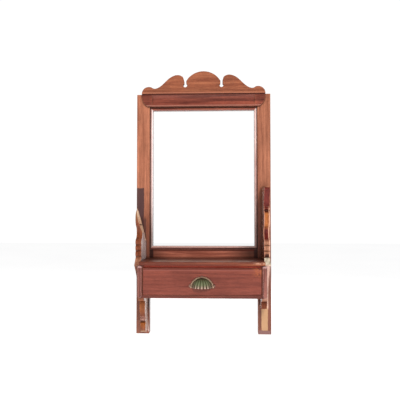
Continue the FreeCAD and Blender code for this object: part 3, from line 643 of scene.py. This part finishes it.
def drawer_front_wood():
    """The drawer's front, with a painted shadow under the case top and a painted highlight line
    below it.
    """
    wood = Wood("drawer_front", "x", "drawer_front", 17.0)
    wood.lines([DRAWER_HIGHLIGHT_LINE])
    shadow_line = wood.ragged("Z", *DRAWER_SHADOW_LINE, 0.0004, 0.0004)
    wood.front_patch((shadow_line,), (100, 42, 30), 0.9)
    amber_corner(wood, 0.100, -0.352, (178, 96, 54))
    wood.wear((190, 112, 96))
    wood.corner_dirt_and_shade(0.003, 0.35, 0.7)
    return wood.done()


# The slips round the glass

SLIP_QUIRK_SHADE = (0.1207, 0.1217)
SLIP_LOW = (-0.16, -0.28)
SLIP_LOW_QUIRK_SHADE = (0.1200, 0.1210)
SLIP_ARRIS = 0.0012
BOTTOM_SLIP_HIGHLIGHT = (-0.2942, -0.2922)
BOTTOM_SLIP_SHADOW = (0.070, 0.112)


def upright_slip(name, seed, inner, glass_edge_highlight):
    """A slip beside the glass: painted shade in its quirk, a painted highlight at the glass, and
    darker low down.
    """
    wood = Wood(name, "z", "slip_upright", seed)
    across = wood.off_centre()
    wood.patch(wood.step(across, *SLIP_QUIRK_SHADE), (124, 66, 56), 0.8)
    wood.patch(wood.step(across, inner, inner - SLIP_ARRIS), glass_edge_highlight, 0.85)
    low = wood.step(wood.axis("Z"), *SLIP_LOW)
    wood.shade(low, 0.5)
    wood.patch(wood.both(low, wood.step(across, *SLIP_LOW_QUIRK_SHADE)), (56, 24, 20), 0.6)
    wood.corner_dirt_and_shade(0.004, 0.3, 0.8)
    return wood.done(coat=SLIP_COAT)


def top_slip_wood():
    """The slip over the glass, darker than the other three."""
    wood = Wood("slip_top", "x", "slip_top", 8.0)
    wood.corner_dirt_and_shade(0.004, 0.16, 0.98)
    return wood.done(coat=SLIP_COAT)


def bottom_slip_wood():
    """The slip under the glass, with a painted highlight along the glass and a painted shadow to
    the right.
    """
    wood = Wood("slip_bottom", "x", "slip_bottom", 8.5)
    wood.patch(wood.step(wood.axis("Z"), *BOTTOM_SLIP_HIGHLIGHT), (226, 190, 180), 0.6)
    wood.shade(wood.step(wood.axis("X"), *BOTTOM_SLIP_SHADOW), 0.5)
    wood.corner_dirt_and_shade(0.004, 0.16, 0.9)
    return wood.done(coat=SLIP_COAT)


# Stain, wear, and dirt with painted shade in the notches, on the sawn edges
# of the brackets, by height in millimetres from the lowest up

RED_STAIN = (118, 38, 30)
AMBER = (196, 116, 62)
BROWN = (146, 78, 48)
DARK_DIRT_AND_SHADE = (84, 36, 24)
RUBBED_BEAD = (204, 144, 114)
CREAM = (255, 240, 214)
PINK_HEEL = (206, 156, 144)
WHOLE_EDGE = [
    (-392, PINK_HEEL),
    (-326, PINK_HEEL),
    (-324, CREAM),
    (-311, CREAM),
    (-309, DARK_DIRT_AND_SHADE),
    (-303, DARK_DIRT_AND_SHADE),
    (-300, RUBBED_BEAD),
    (-277, RUBBED_BEAD),
    (-270, RED_STAIN),
    (-251, RED_STAIN),
    (-242, AMBER),
    (-216, AMBER),
    (-212, DARK_DIRT_AND_SHADE),
    (-206, RED_STAIN),
    (-156, RED_STAIN),
]
BROKEN_EDGE = [
    (-392, DARK_DIRT_AND_SHADE),
    (-330, BROWN),
    (-318, RUBBED_BEAD),
    (-305, BROWN),
    (-236, BROWN),
    (-203, TAN),
]
LOWER_EDGE = [
    (-480, TAN),
    (-472, BROWN),
    (-458, AMBER),
    (-452, DARK_DIRT_AND_SHADE),
    (-449, PINK_HEEL),
    (-440, BROWN),
    (-414, AMBER),
    (-398, BROWN),
]
STUB_EDGE = [(-425, BROWN), (-405, BROWN), (-402, RUBBED_BEAD), (-391, PINK_HEEL)]

# Rubbed lines on the whole bracket's sawn edge: left, right, low, high and colour
WHOLE_ARRISES = [
    (0.1412, 0.1500, -0.310, -0.203, (226, 172, 146)),
    (0.1250, 0.1328, -0.310, -0.203, (190, 130, 106)),
    (0.1340, 0.1418, -0.395, -0.324, (246, 200, 182)),
]
BRACKET_SIDE_DARK = (96, 44, 30)
BRACKET_SIDE_LIGHT = (146, 78, 52)
BLEACH_AND_REFLECTION = (246, 214, 196)
INNER_HIGHLIGHT = (255, 236, 230)
INNER_HIGHLIGHT_RISES = (-0.322, -0.275)
INNER_HIGHLIGHT_ENDS = (-0.254, -0.268)
INNER_HIGHLIGHT_OUT = (-0.052, -0.078)
OLD_CRACK = (-0.2415, -0.2388)


def paint_bleach_and_reflection(wood, low, high, amount):
    """The pale, streaky inner side of a left bracket: bleached wood and a painted reflection."""
    inner = wood.step(wood.facing("X"), 0.8, 0.95)
    streaky = wood.step(wood.streaks, 0.38, 0.6, 0.35, 1.0)
    height = wood.ragged("Z", low, high, 0.012, 0.005)
    wood.patch(wood.both(inner, streaky, height), BLEACH_AND_REFLECTION, amount)


def paint_inner_highlight(wood):
    """A milky painted highlight on the inner side of the left upper bracket, near its front, and a
    sheen over the whole bracket.
    """
    inner = wood.step(wood.facing("X"), 0.8, 0.95)
    above = wood.step(wood.axis("Z"), *INNER_HIGHLIGHT_RISES)
    below = wood.step(wood.axis("Z"), *INNER_HIGHLIGHT_ENDS)
    near = wood.step(wood.axis("Y"), *INNER_HIGHLIGHT_OUT)
    cloud = wood.noise(wood.stretched((1.0, 0.7, 0.12)), 320.0, 3.0, 0.6)
    cloudy = wood.step(cloud, 0.34, 0.6, 0.35, 1.0)
    wood.patch(wood.both(inner, above, below, near, cloudy), INNER_HIGHLIGHT, 0.88)
    wood.constants(Sheen_Weight=0.6, Sheen_Roughness=0.22, Sheen_Tint=(1.0, 0.92, 0.93, 1.0))


def bracket_wood(
    name, seed, edge_stops, wear=0.8, dirt_and_shade=0.7, bleach_and_reflection=None, inner_highlight=False, arrises=()
):
    """A sawn bracket: glossy flat sides, and duller edges that change with height."""
    wood = Wood(name, "z", "bracket", seed)
    sides = wood.ramp(wood.streaks, [(0.34, BRACKET_SIDE_DARK), (0.66, BRACKET_SIDE_LIGHT)])
    edge = wood.mix(1.0, wood.tone, wood.by_height(edge_stops), "MULTIPLY")
    sawn = wood.step(wood.math("ABSOLUTE", wood.facing("X")), 0.95, 0.75)
    wood.tone = wood.mix(sawn, sides, edge)
    for left, right, low, high, colour in arrises:
        height = wood.within(wood.axis("Z"), low, high, 0.004)
        line = wood.ragged("X", left, right, 0.0004, 0.0004)
        wood.patch(wood.both(sawn, height, line), colour, 0.85)
    if bleach_and_reflection:
        paint_bleach_and_reflection(wood, *bleach_and_reflection)
    if inner_highlight:
        paint_inner_highlight(wood)
    wood.wear(RUBBED_SAWN, 0.0014, wear)
    wood.corner_dirt_and_shade(0.004, 0.4, dirt_and_shade)
    wood.gloss = wood.step(sawn, 0.0, 1.0, 0.13, 0.5)
    return wood.done(coat=0.0)


def torn_wood(name, seed):
    """Pale torn fibres, with one old crack, and dirt and painted shade in the corners."""
    wood = Wood(name, "z", "torn", seed)
    opened = wood.step(wood.noise(wood.place(), 190.0, 3.0, 0.7), 0.36, 0.52, 0.25, 1.0)
    crack = wood.ragged("Z", *OLD_CRACK, 0.0005, 0.0022)
    wood.patch(wood.both(opened, crack), (60, 30, 22), 0.9)
    wood.corner_dirt_and_shade(0.003, 0.45, 0.7)
    return wood.done(TORN_RELIEF, coat=0.0)


# Dressing of the CAD nodes

SAME_POINT = 0.00002
FLAT_ANGLE = math.radians(0.8)
SHARP_ANGLE = math.radians(32)

# How far edges are rounded
CRISP = 0.0003
FINE = 0.0004
EASED = 0.0005
WORN = 0.0006
HANDLED = 0.0007


def dress(name, material, rounding=0.0):
    """Gives a CAD node its material, and small rounded edges if it has any."""
    node = NODES[name]
    node.data.materials.clear()
    node.data.materials.append(material)
    if rounding:
        weld = node.modifiers.new("weld", "WELD")
        weld.merge_threshold = SAME_POINT
        flat = node.modifiers.new("flat", "DECIMATE")
        flat.decimate_type = "DISSOLVE"
        flat.angle_limit = FLAT_ANGLE
        round_edges(node, rounding, "ANGLE")


def round_edges(piece, width, limit):
    """Rounds the edges that are sharp, or that carry a weight."""
    bevel = piece.modifiers.new("bevel", "BEVEL")
    bevel.width = width
    bevel.segments = 2
    bevel.limit_method = limit
    bevel.angle_limit = SHARP_ANGLE
    normals = piece.modifiers.new("normals", "WEIGHTED_NORMAL")
    normals.weight = 90
    normals.keep_sharp = True


def dress_frame():
    dress("left_stile", stile("stile_left", 1.0, left_marks, 1.04, 0.15), WORN)
    dress("right_stile", stile("stile_right", 2.0, right_marks, 0.87, 0.55), WORN)
    dress("top_rail", plain_wood("rail_top", "x", 3.0), FINE)
    dress("bottom_rail", rail_wood(), EASED)
    dress("header_moulding", header_wood(), EASED)
    dress("crest_board", crest_wood(), HANDLED)
    dress("left_sight_slip", upright_slip("slip_left", 7.0, 0.1192, (250, 232, 230)))
    dress("right_sight_slip", upright_slip("slip_right", 7.5, 0.1180, (206, 174, 166)))
    dress("top_sight_slip", top_slip_wood())
    dress("bottom_sight_slip", bottom_slip_wood())
    dress("backing_board", bare_wood("bare_upright", "z", 9.0), CRISP)
    dress("crest_tongues", bare_wood("bare_tongue", "z", 10.0))


def dress_case():
    side = plain_wood("case_side", "y", 11.0)
    dress("left_case_side", side, EASED)
    dress("right_case_side", side, EASED)
    dress("case_top", top_wood(), FINE)
    dress("case_bottom", plain_wood("case_bottom", "x", 13.0), EASED)
    dress("case_front_rail", plain_wood("case_rail", "x", 14.0), FINE)
    strip = strip_wood()
    dress("left_front_strip", strip, FINE)
    dress("right_front_strip", strip, FINE)
    bare = bare_wood("bare_level", "x", 16.0)
    dress("case_back", bare, FINE)
    dress("drawer_stops", bare, FINE)


def dress_drawer():
    dress("drawer_front", drawer_front_wood(), FINE)
    side = bare_wood("bare_side", "y", 18.0)
    dress("left_drawer_side", side, FINE)
    dress("right_drawer_side", side, FINE)
    bare = bare_wood("bare_drawer", "x", 19.0)
    dress("drawer_back", bare, FINE)
    dress("drawer_bottom", bare)


def dress_brackets():
    whole = bracket_wood("bracket_whole", 20.0, WHOLE_EDGE, arrises=WHOLE_ARRISES)
    dress("right_upper_bracket", whole, WORN)
    lower = bracket_wood("bracket_lower", 22.0, LOWER_EDGE, bleach_and_reflection=(-0.49, -0.40, 0.6))
    dress("left_lower_bracket", lower, EASED)
    bleach_and_reflection = (-0.300, -0.264, 0.2)
    broken = bracket_wood("bracket_broken", 21.0, BROKEN_EDGE, 0.4, 0.2, bleach_and_reflection, True)
    torn = torn_wood("torn_upper", 24.0)
    torn_bracket("left_upper_bracket", [broken, torn], is_horn_break, UPPER_SPLINTER)
    stub = bracket_wood("bracket_stub", 23.0, STUB_EDGE, wear=0.0)
    torn = torn_wood("torn_lower", 25.0)
    torn_bracket("right_lower_bracket", [stub, torn], is_stub_foot, LOWER_SPLINTER)


# Breaks in the wood

TEAR_GRID = {"x": 0.0007, "y": 0.0010}
FURROW_DEPTH = 0.0011
WHOLE_FRONT = 0.012  # the tear fades out over this much of its front
UPPER_SPLINTER = -0.0045  # how far the tear is drawn out, in Z
LOWER_SPLINTER = 0.005
STUB_FOOT_Z = -0.419


def is_horn_break(face):
    """The slope left where the horn broke off."""
    return face.normal.x > 0.7 and face.normal.z > 0.1


def is_stub_foot(face):
    """The foot of the stub, where the scroll broke off."""
    return face.normal.z < -0.9 and face.calc_center_median().z < STUB_FOOT_Z


def splinter(point):
    """0 to 1: how far the torn wood stands back, in long narrow fibres."""
    broad = noise.noise(Vector((point.x * 210, point.y * 130, 1.7)))
    narrow = noise.noise(Vector((point.x * 620, point.y * 480, 5.1)))
    return min(1.0, max(0.0, 0.42 + 0.75 * broad + 0.45 * narrow))


def ridge(point):
    """0 to 1: the furrows between fibres, which run up and down."""
    return 0.5 + 0.5 * noise.noise(Vector((point.y * 900, point.z * 45, point.x * 60)))


def slice_faces(shape, faces, axis, pitch):
    """Cuts faces by planes at even steps along an axis, and returns the pieces."""
    index = "xyz".index(axis)
    places = [vert.co[index] for face in faces for vert in face.verts]
    normal = Vector((0, 0, 0))
    normal[index] = 1.0
    for number in range(1, int((max(places) - min(places)) / pitch)):
        spot = Vector((0, 0, 0))
        spot[index] = min(places) + number * pitch
        edges = {edge for face in faces for edge in face.edges}
        verts = {vert for face in faces for vert in face.verts}
        marks = {face.material_index for face in faces}
        bmesh.ops.bisect_plane(
            shape, geom=list(verts) + list(edges) + faces, plane_co=spot, plane_no=normal
        )
        faces = [face for face in shape.faces if face.material_index in marks]
    return faces


def torn_bracket(name, materials, is_torn, depth):
    """A copy of a broken bracket whose break is drawn out into splinters."""
    shape = bmesh.new()
    shape.from_mesh(NODES[name].data)
    bmesh.ops.remove_doubles(shape, verts=shape.verts, dist=SAME_POINT)
    bmesh.ops.dissolve_limit(
        shape, angle_limit=FLAT_ANGLE, verts=shape.verts, edges=shape.edges
    )
    shape.normal_update()
    torn = [face for face in shape.faces if is_torn(face)]
    for face in shape.faces:
        face.material_index = 0
    for face in torn:
        face.material_index = 1
    weight = shape.edges.layers.float.new("bevel_weight_edge")
    for edge in shape.edges:
        sharp = edge.is_manifold and edge.calc_face_angle() > SHARP_ANGLE
        if sharp and not any(face.material_index for face in edge.link_faces):
            edge[weight] = 1.0
    torn = slice_faces(shape, torn, "x", TEAR_GRID["x"])
    torn = slice_faces(shape, torn, "y", TEAR_GRID["y"])
    shape.normal_update()
    torn_verts = {vert for face in torn for vert in face.verts}
    front = min(vert.co.y for vert in torn_verts)
    for vert in torn_verts:
        place = vert.co.copy()
        if all(face.material_index for face in vert.link_faces):
            vert.co -= FURROW_DEPTH * ridge(place) * vert.normal
        vert.co.z += depth * splinter(place) * min(1.0, (place.y - front) / WHOLE_FRONT)
    bmesh.ops.triangulate(shape, faces=torn)
    for face in shape.faces:
        face.smooth = not face.material_index
        for edge in face.edges:
            edge.smooth = edge.smooth and face.smooth
    piece = make_piece(name + "_torn", shape, materials, FIXED)
    round_edges(piece, WORN, "WEIGHT")
    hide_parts(name)


def make_piece(name, shape, materials, body, smooth=False):
    """Turns a bmesh into a piece that rides on a body."""
    mesh = bpy.data.meshes.new(name)
    shape.normal_update()
    shape.to_mesh(mesh)
    shape.free()
    for material in materials:
        mesh.materials.append(material)
    if smooth:
        mesh.shade_smooth()
    piece = bpy.data.objects.new(name, mesh)
    bpy.context.scene.collection.objects.link(piece)
    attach(piece, body)
    return piece


# Shell pull

RIBS = 9
VALLEY = 0.0012
SCALLOP = 0.0007
RIB_STEPS = 14
HOOD_RINGS = 22
PULL_LOW, PULL_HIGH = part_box("shell_pull")
PULL_BACK = PULL_HIGH[1]
LIP_Z = PULL_LOW[2]
HOOD_HALF_WIDTH = 0.0206
HOOD_REACH = PULL_BACK - PULL_LOW[1]
HOOD_HEIGHT = 0.0198
HOOD_WALL = 0.0013
ARC_RADIUS = 0.0252
ARC_DROP = 0.0018  # from the lip down to the centre of the plate's arc
PLATE_STEPS = 96
# The rim's profile: how far in from its edge, and how far out from the drawer
RIM = [
    (0.0045, 0.0012),
    (0.0032, 0.0012),
    (0.0029, 0.0020),
    (0.0022, 0.0025),
    (0.0014, 0.0026),
    (0.0007, 0.0023),
    (0.0002, 0.0016),
    (0.0, 0.0009),
    (0.0, 0.0),
]
LUG_RADIUS = 0.0031
LUG_SEGMENTS = 32
PIN_RADIUS = 0.0017
PIN_STEM = 0.00235
PIN_DOME = 0.0010
PIN_RINGS = 8
PIN_SEGMENTS = 24
JOINED = 0.000005
# A lug's profile: shares of its radius, and how far out from the drawer
LUG = [(1.0, 0.0), (1.0, 0.0010), (0.93, 0.0016), (0.8, 0.0021), (0.6, 0.00245), (0.3, 0.00245)]


def sheet(shape, rows, mark=0):
    """Joins rows of points, all of one length, by quads."""
    made = [[shape.verts.new(point) for point in row] for row in rows]
    for low, high in zip(made, made[1:]):
        for index in range(len(low) - 1):
            face = shape.faces.new((low[index], low[index + 1], high[index + 1], high[index]))
            face.material_index = mark


def turned(shape, centre, profile, segments, mark=0):
    """Turns a profile of radii and rises about an axis that points at the viewer."""
    rows = []
    for radius, rise in profile:
        ring = []
        for number in range(segments + 1):
            turn = 2 * math.pi * number / segments
            x = centre[0] + radius * math.cos(turn)
            z = centre[2] + radius * math.sin(turn)
            ring.append((x, centre[1] - rise, z))
        rows.append(ring)
    sheet(shape, rows, mark)


def hood_point(turn, rise, wall):
    """A point on the fluted hood: turn goes round the lip, rise from lip to crown."""
    shrink = math.cos(rise)
    loss = wall + VALLEY * (1 - abs(math.sin(RIBS * turn)) ** 0.8)
    across = (HOOD_HALF_WIDTH - loss) * shrink * math.cos(turn)
    out = (HOOD_REACH - loss) * shrink * math.sin(turn)
    return Vector((across, PULL_BACK - out, LIP_Z + (HOOD_HEIGHT - wall) * math.sin(rise)))


def hood_shape(shape):
    """The hood: its fluted outside, a rounded lip, and its hollow inside."""
    steps = RIBS * RIB_STEPS
    turns = [math.pi * number / steps for number in range(steps + 1)]
    rises = [math.radians(90 * number / HOOD_RINGS) for number in range(HOOD_RINGS + 1)]
    outside = [[hood_point(turn, rise, 0.0) for turn in turns] for rise in reversed(rises)]
    inside = [[hood_point(turn, rise, HOOD_WALL) for turn in turns] for rise in rises]
    lip = []
    for number, turn in enumerate(turns):
        scallop = SCALLOP * (1 - abs(math.sin(RIBS * turn)))
        for row in (outside[-1], outside[-2], inside[0]):
            row[number].z += scallop
        lip.append((outside[-1][number] + inside[0][number]) / 2)
    sheet(shape, outside + [lip] + inside)


def plate_shape(shape):
    """The crescent plate and its rounded rim, swept round the arc."""
    turns = [math.pi * number / PLATE_STEPS for number in range(PLATE_STEPS + 1)]
    rows = []
    for inset, rise in RIM:
        row = []
        for turn in turns:
            along = ARC_DROP * math.sin(turn)
            edge = math.sqrt(ARC_RADIUS**2 - (ARC_DROP * math.cos(turn)) ** 2) - along
            reach = edge - inset
            row.append((reach * math.cos(turn), PULL_BACK - rise, LIP_Z + reach * math.sin(turn)))
        rows.append(row)
    sheet(shape, rows, 1)


def lug_places():
    """Centres of the lugs, from the CAD pins that pass through them."""
    low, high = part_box("pull_pins")
    return [
        (low[0] + PIN_RADIUS, PULL_BACK, low[2] + PIN_RADIUS),
        (high[0] - PIN_RADIUS, PULL_BACK, low[2] + PIN_RADIUS),
        (0.0, PULL_BACK, high[2] - PIN_RADIUS),
    ]


def shell_pull():
    """The pull: its hood, its plate and three lugs."""
    shape = bmesh.new()
    lug = [(LUG_RADIUS * share, rise) for share, rise in LUG]
    hood_shape(shape)
    plate_shape(shape)
    for place in lug_places():
        turned(shape, place, lug, LUG_SEGMENTS, 2)
    bmesh.ops.remove_doubles(shape, verts=shape.verts, dist=JOINED)
    materials = [hood_brass(), rim_brass(), lug_brass()]
    piece = make_piece("shell_pull_cast", shape, materials, DRAWER, True)
    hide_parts("shell_pull")


def pin_domes():
    """The round heads of the pins."""
    shape = bmesh.new()
    dome = []
    for number in range(PIN_RINGS + 1):
        turn = math.radians(90 * number / PIN_RINGS)
        dome.append((PIN_RADIUS * math.cos(turn), PIN_STEM + PIN_DOME * math.sin(turn)))
    for place in lug_places():
        turned(shape, place, dome, PIN_SEGMENTS)
    bmesh.ops.remove_doubles(shape, verts=shape.verts, dist=JOINED)
    piece = make_piece("pull_pin_domes", shape, [lug_brass()], DRAWER, True)
    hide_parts("pull_pins")


# Metals and glass.  The hood's tones go from its lip to its crown

RIB_TONES = [
    (0.0, (150, 132, 112)),
    (0.45, (142, 148, 112)),
    (0.8, (116, 124, 88)),
    (1.0, (88, 82, 54)),
]
VALLEY_TONES = [(0.0, (84, 60, 44)), (0.5, (96, 98, 66)), (1.0, (54, 46, 26))]


def glass():
    """Silvered glass, with a little speckled loss at its side edges."""
    graph = Graph("silvered_glass")
    graph.constants(Metallic=1.0, Roughness=0.0)
    speck = graph.noise(graph.place(), 520.0, 2.0, 0.6)
    edge_x = graph.step(graph.off_centre(), 0.1155, 0.1175)
    loss = graph.math("MULTIPLY", edge_x, graph.step(speck, 0.5, 0.62))
    graph.colour(graph.mix(loss, linear((250, 251, 251)), linear((150, 146, 138))))
    return graph.material


def finish_metal(graph, tone, cloud, rough, metallic=0.55):
    """Scratches, and dirt and painted shade in the hollows, over a metal's tone, then its polish.
    """
    scratch = graph.noise(graph.stretched((1.0, 1.0, 0.08)), 2600.0, 2.0, 0.6)
    tone = graph.darken(graph.step(scratch, 0.55, 0.75, 0.0, 0.25), tone, 0.5)
    tone = graph.darken(graph.math("MULTIPLY", graph.crevices(0.002), 0.85), tone, 0.25)
    graph.colour(tone)
    graph.constants(Metallic=metallic)
    graph.roughness(graph.step(cloud, 0.3, 0.7, rough - 0.08, rough + 0.15))
    graph.bump(graph.math("ADD", cloud, scratch), 0.00008)
    return graph.material


def metal(name, base, shade, rough, seed):
    """Worn metal of one tone."""
    graph = Graph(name)
    cloud = graph.noise(graph.stretched((1.0, 1.0, 1.0), (seed, seed, seed)), 240.0, 4.0, 0.65)
    tone = graph.ramp(cloud, [(0.35, shade), (0.65, base)])
    return finish_metal(graph, tone, cloud, rough, 1.0)


def rim_brass():
    """Brass rubbed pale by hands, duller at the top of the arc."""
    graph = Graph("brass_rim")
    cloud = graph.noise(graph.place(), 300.0, 4.0, 0.65)
    tone = graph.ramp(cloud, [(0.35, (146, 118, 94)), (0.62, (194, 164, 138))])
    shaded = graph.step(graph.off_centre(), 0.012, 0.002, 0.0, 0.6)
    tone = graph.tint(shaded, tone, (116, 92, 66))
    return finish_metal(graph, tone, cloud, 0.4)


def lug_brass():
    """The lugs, with a brown lacquer left on them."""
    graph = Graph("brass_lug")
    cloud = graph.noise(graph.place(), 300.0, 4.0, 0.65)
    tone = graph.ramp(cloud, [(0.35, (122, 90, 76)), (0.62, (166, 126, 112))])
    return finish_metal(graph, tone, cloud, 0.45)


def hood_brass():
    """Green patina on the ribs, dark between them, and a painted highlight on the lower rib tips.
    """
    graph = Graph("brass_hood")
    cloud = graph.noise(graph.place(), 260.0, 4.0, 0.65)
    out = graph.math("SUBTRACT", PULL_BACK, graph.axis("Y"))
    turn = graph.math(
        "ARCTAN2",
        graph.math("DIVIDE", out, HOOD_REACH),
        graph.math("DIVIDE", graph.axis("X"), HOOD_HALF_WIDTH),
    )
    swell = graph.math("ABSOLUTE", graph.math("SINE", graph.math("MULTIPLY", turn, RIBS)))
    crest = graph.step(swell, 0.35, 1.0)
    height = graph.step(graph.axis("Z"), LIP_Z, LIP_Z + HOOD_HEIGHT, kind="LINEAR")
    tone = graph.mix(crest, graph.ramp(height, VALLEY_TONES), graph.ramp(height, RIB_TONES))
    tip_highlight = graph.both(graph.step(height, 0.42, 0.05), graph.step(swell, 0.55, 0.95))
    tone = graph.tint(graph.math("MULTIPLY", tip_highlight, 0.85), tone, (204, 174, 156))
    flank = graph.step(graph.off_centre(), 0.0125, 0.0185, 0.0, 0.6)
    tone = graph.tint(flank, tone, (82, 62, 44))
    tone = graph.tint(graph.step(cloud, 0.52, 0.7, 0.0, 0.35), tone, (70, 92, 66))
    return finish_metal(graph, tone, cloud, 0.4, 0.45)


def dress_metal():
    dress("mirror_glass", glass())
    steel = metal("steel_dark", (120, 112, 104), (70, 62, 56), 0.5, 1.0)
    for name in ("glazing_sprigs", "upper_bracket_nails", "lower_bracket_nails", "case_nails"):
        dress(name, steel)
    brass = metal("brass_dull", (190, 158, 96), (120, 92, 50), 0.4, 2.0)
    for name in ("left_hanging_plate", "right_hanging_plate"):
        dress(name, brass)
    plate_screws(brass)


# Screws of the hanging plates

SCREW_HEAD_RADIUS = 0.0030
SLOT_SHARE = 0.12  # half the slot, as a share of the radius
SLOT_DEPTH = 0.0006
SLOT_WALL = 0.001  # the width of the slot's side walls, as a share of the radius
HEAD_SINK = 0.0005
HEAD_DOME = 0.00045
HEAD_SLICES = 24
HEAD_RUNS = 7


def plate_screws(brass):
    """Countersunk screws with domed, slotted heads, seen from the back."""
    low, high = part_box("hanging_plate_screws")
    shape = bmesh.new()
    head = SCREW_HEAD_RADIUS
    for number, x in enumerate((low[0] + head, high[0] - head)):
        for z in (low[2] + head, high[2] - head):
            slotted_head(shape, (x, high[1], z), 0.4 + 1.1 * number + 9.0 * z)
    piece = make_piece("slotted_plate_screws", shape, [brass], FIXED)
    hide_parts("hanging_plate_screws")


def slotted_head(shape, centre, turn):
    """One head: slices of a dome, pressed in along the slot."""
    along = Vector((math.cos(turn), 0.0, math.sin(turn)))
    across = Vector((-math.sin(turn), 0.0, math.cos(turn)))
    slices = [-math.cos(math.pi * number / HEAD_SLICES) for number in range(HEAD_SLICES + 1)]
    steps = [side for side in slices if abs(side) > SLOT_SHARE] + [-SLOT_SHARE, SLOT_SHARE]
    steps += [-SLOT_SHARE - SLOT_WALL, SLOT_SHARE + SLOT_WALL]
    rows = []
    for side in sorted(steps):
        row = []
        half = math.sqrt(1 - side**2) if abs(side) < 1 else 0.0
        for number in range(2 * HEAD_RUNS + 1):
            run = half * (number / HEAD_RUNS - 1)
            dome = HEAD_DOME * (1 - side**2 - run**2)
            pressed = SLOT_DEPTH if abs(side) <= SLOT_SHARE else 0.0
            point = Vector(centre) + SCREW_HEAD_RADIUS * (side * across + run * along)
            row.append(point + Vector((0.0, -HEAD_SINK + dome - pressed, 0.0)))
        rows.append(row)
    sheet(shape, rows)


make_camera()
make_world()
make_lights()
make_floor()
dress_frame()
dress_case()
dress_drawer()
dress_brackets()
dress_metal()
shell_pull()
pin_domes()
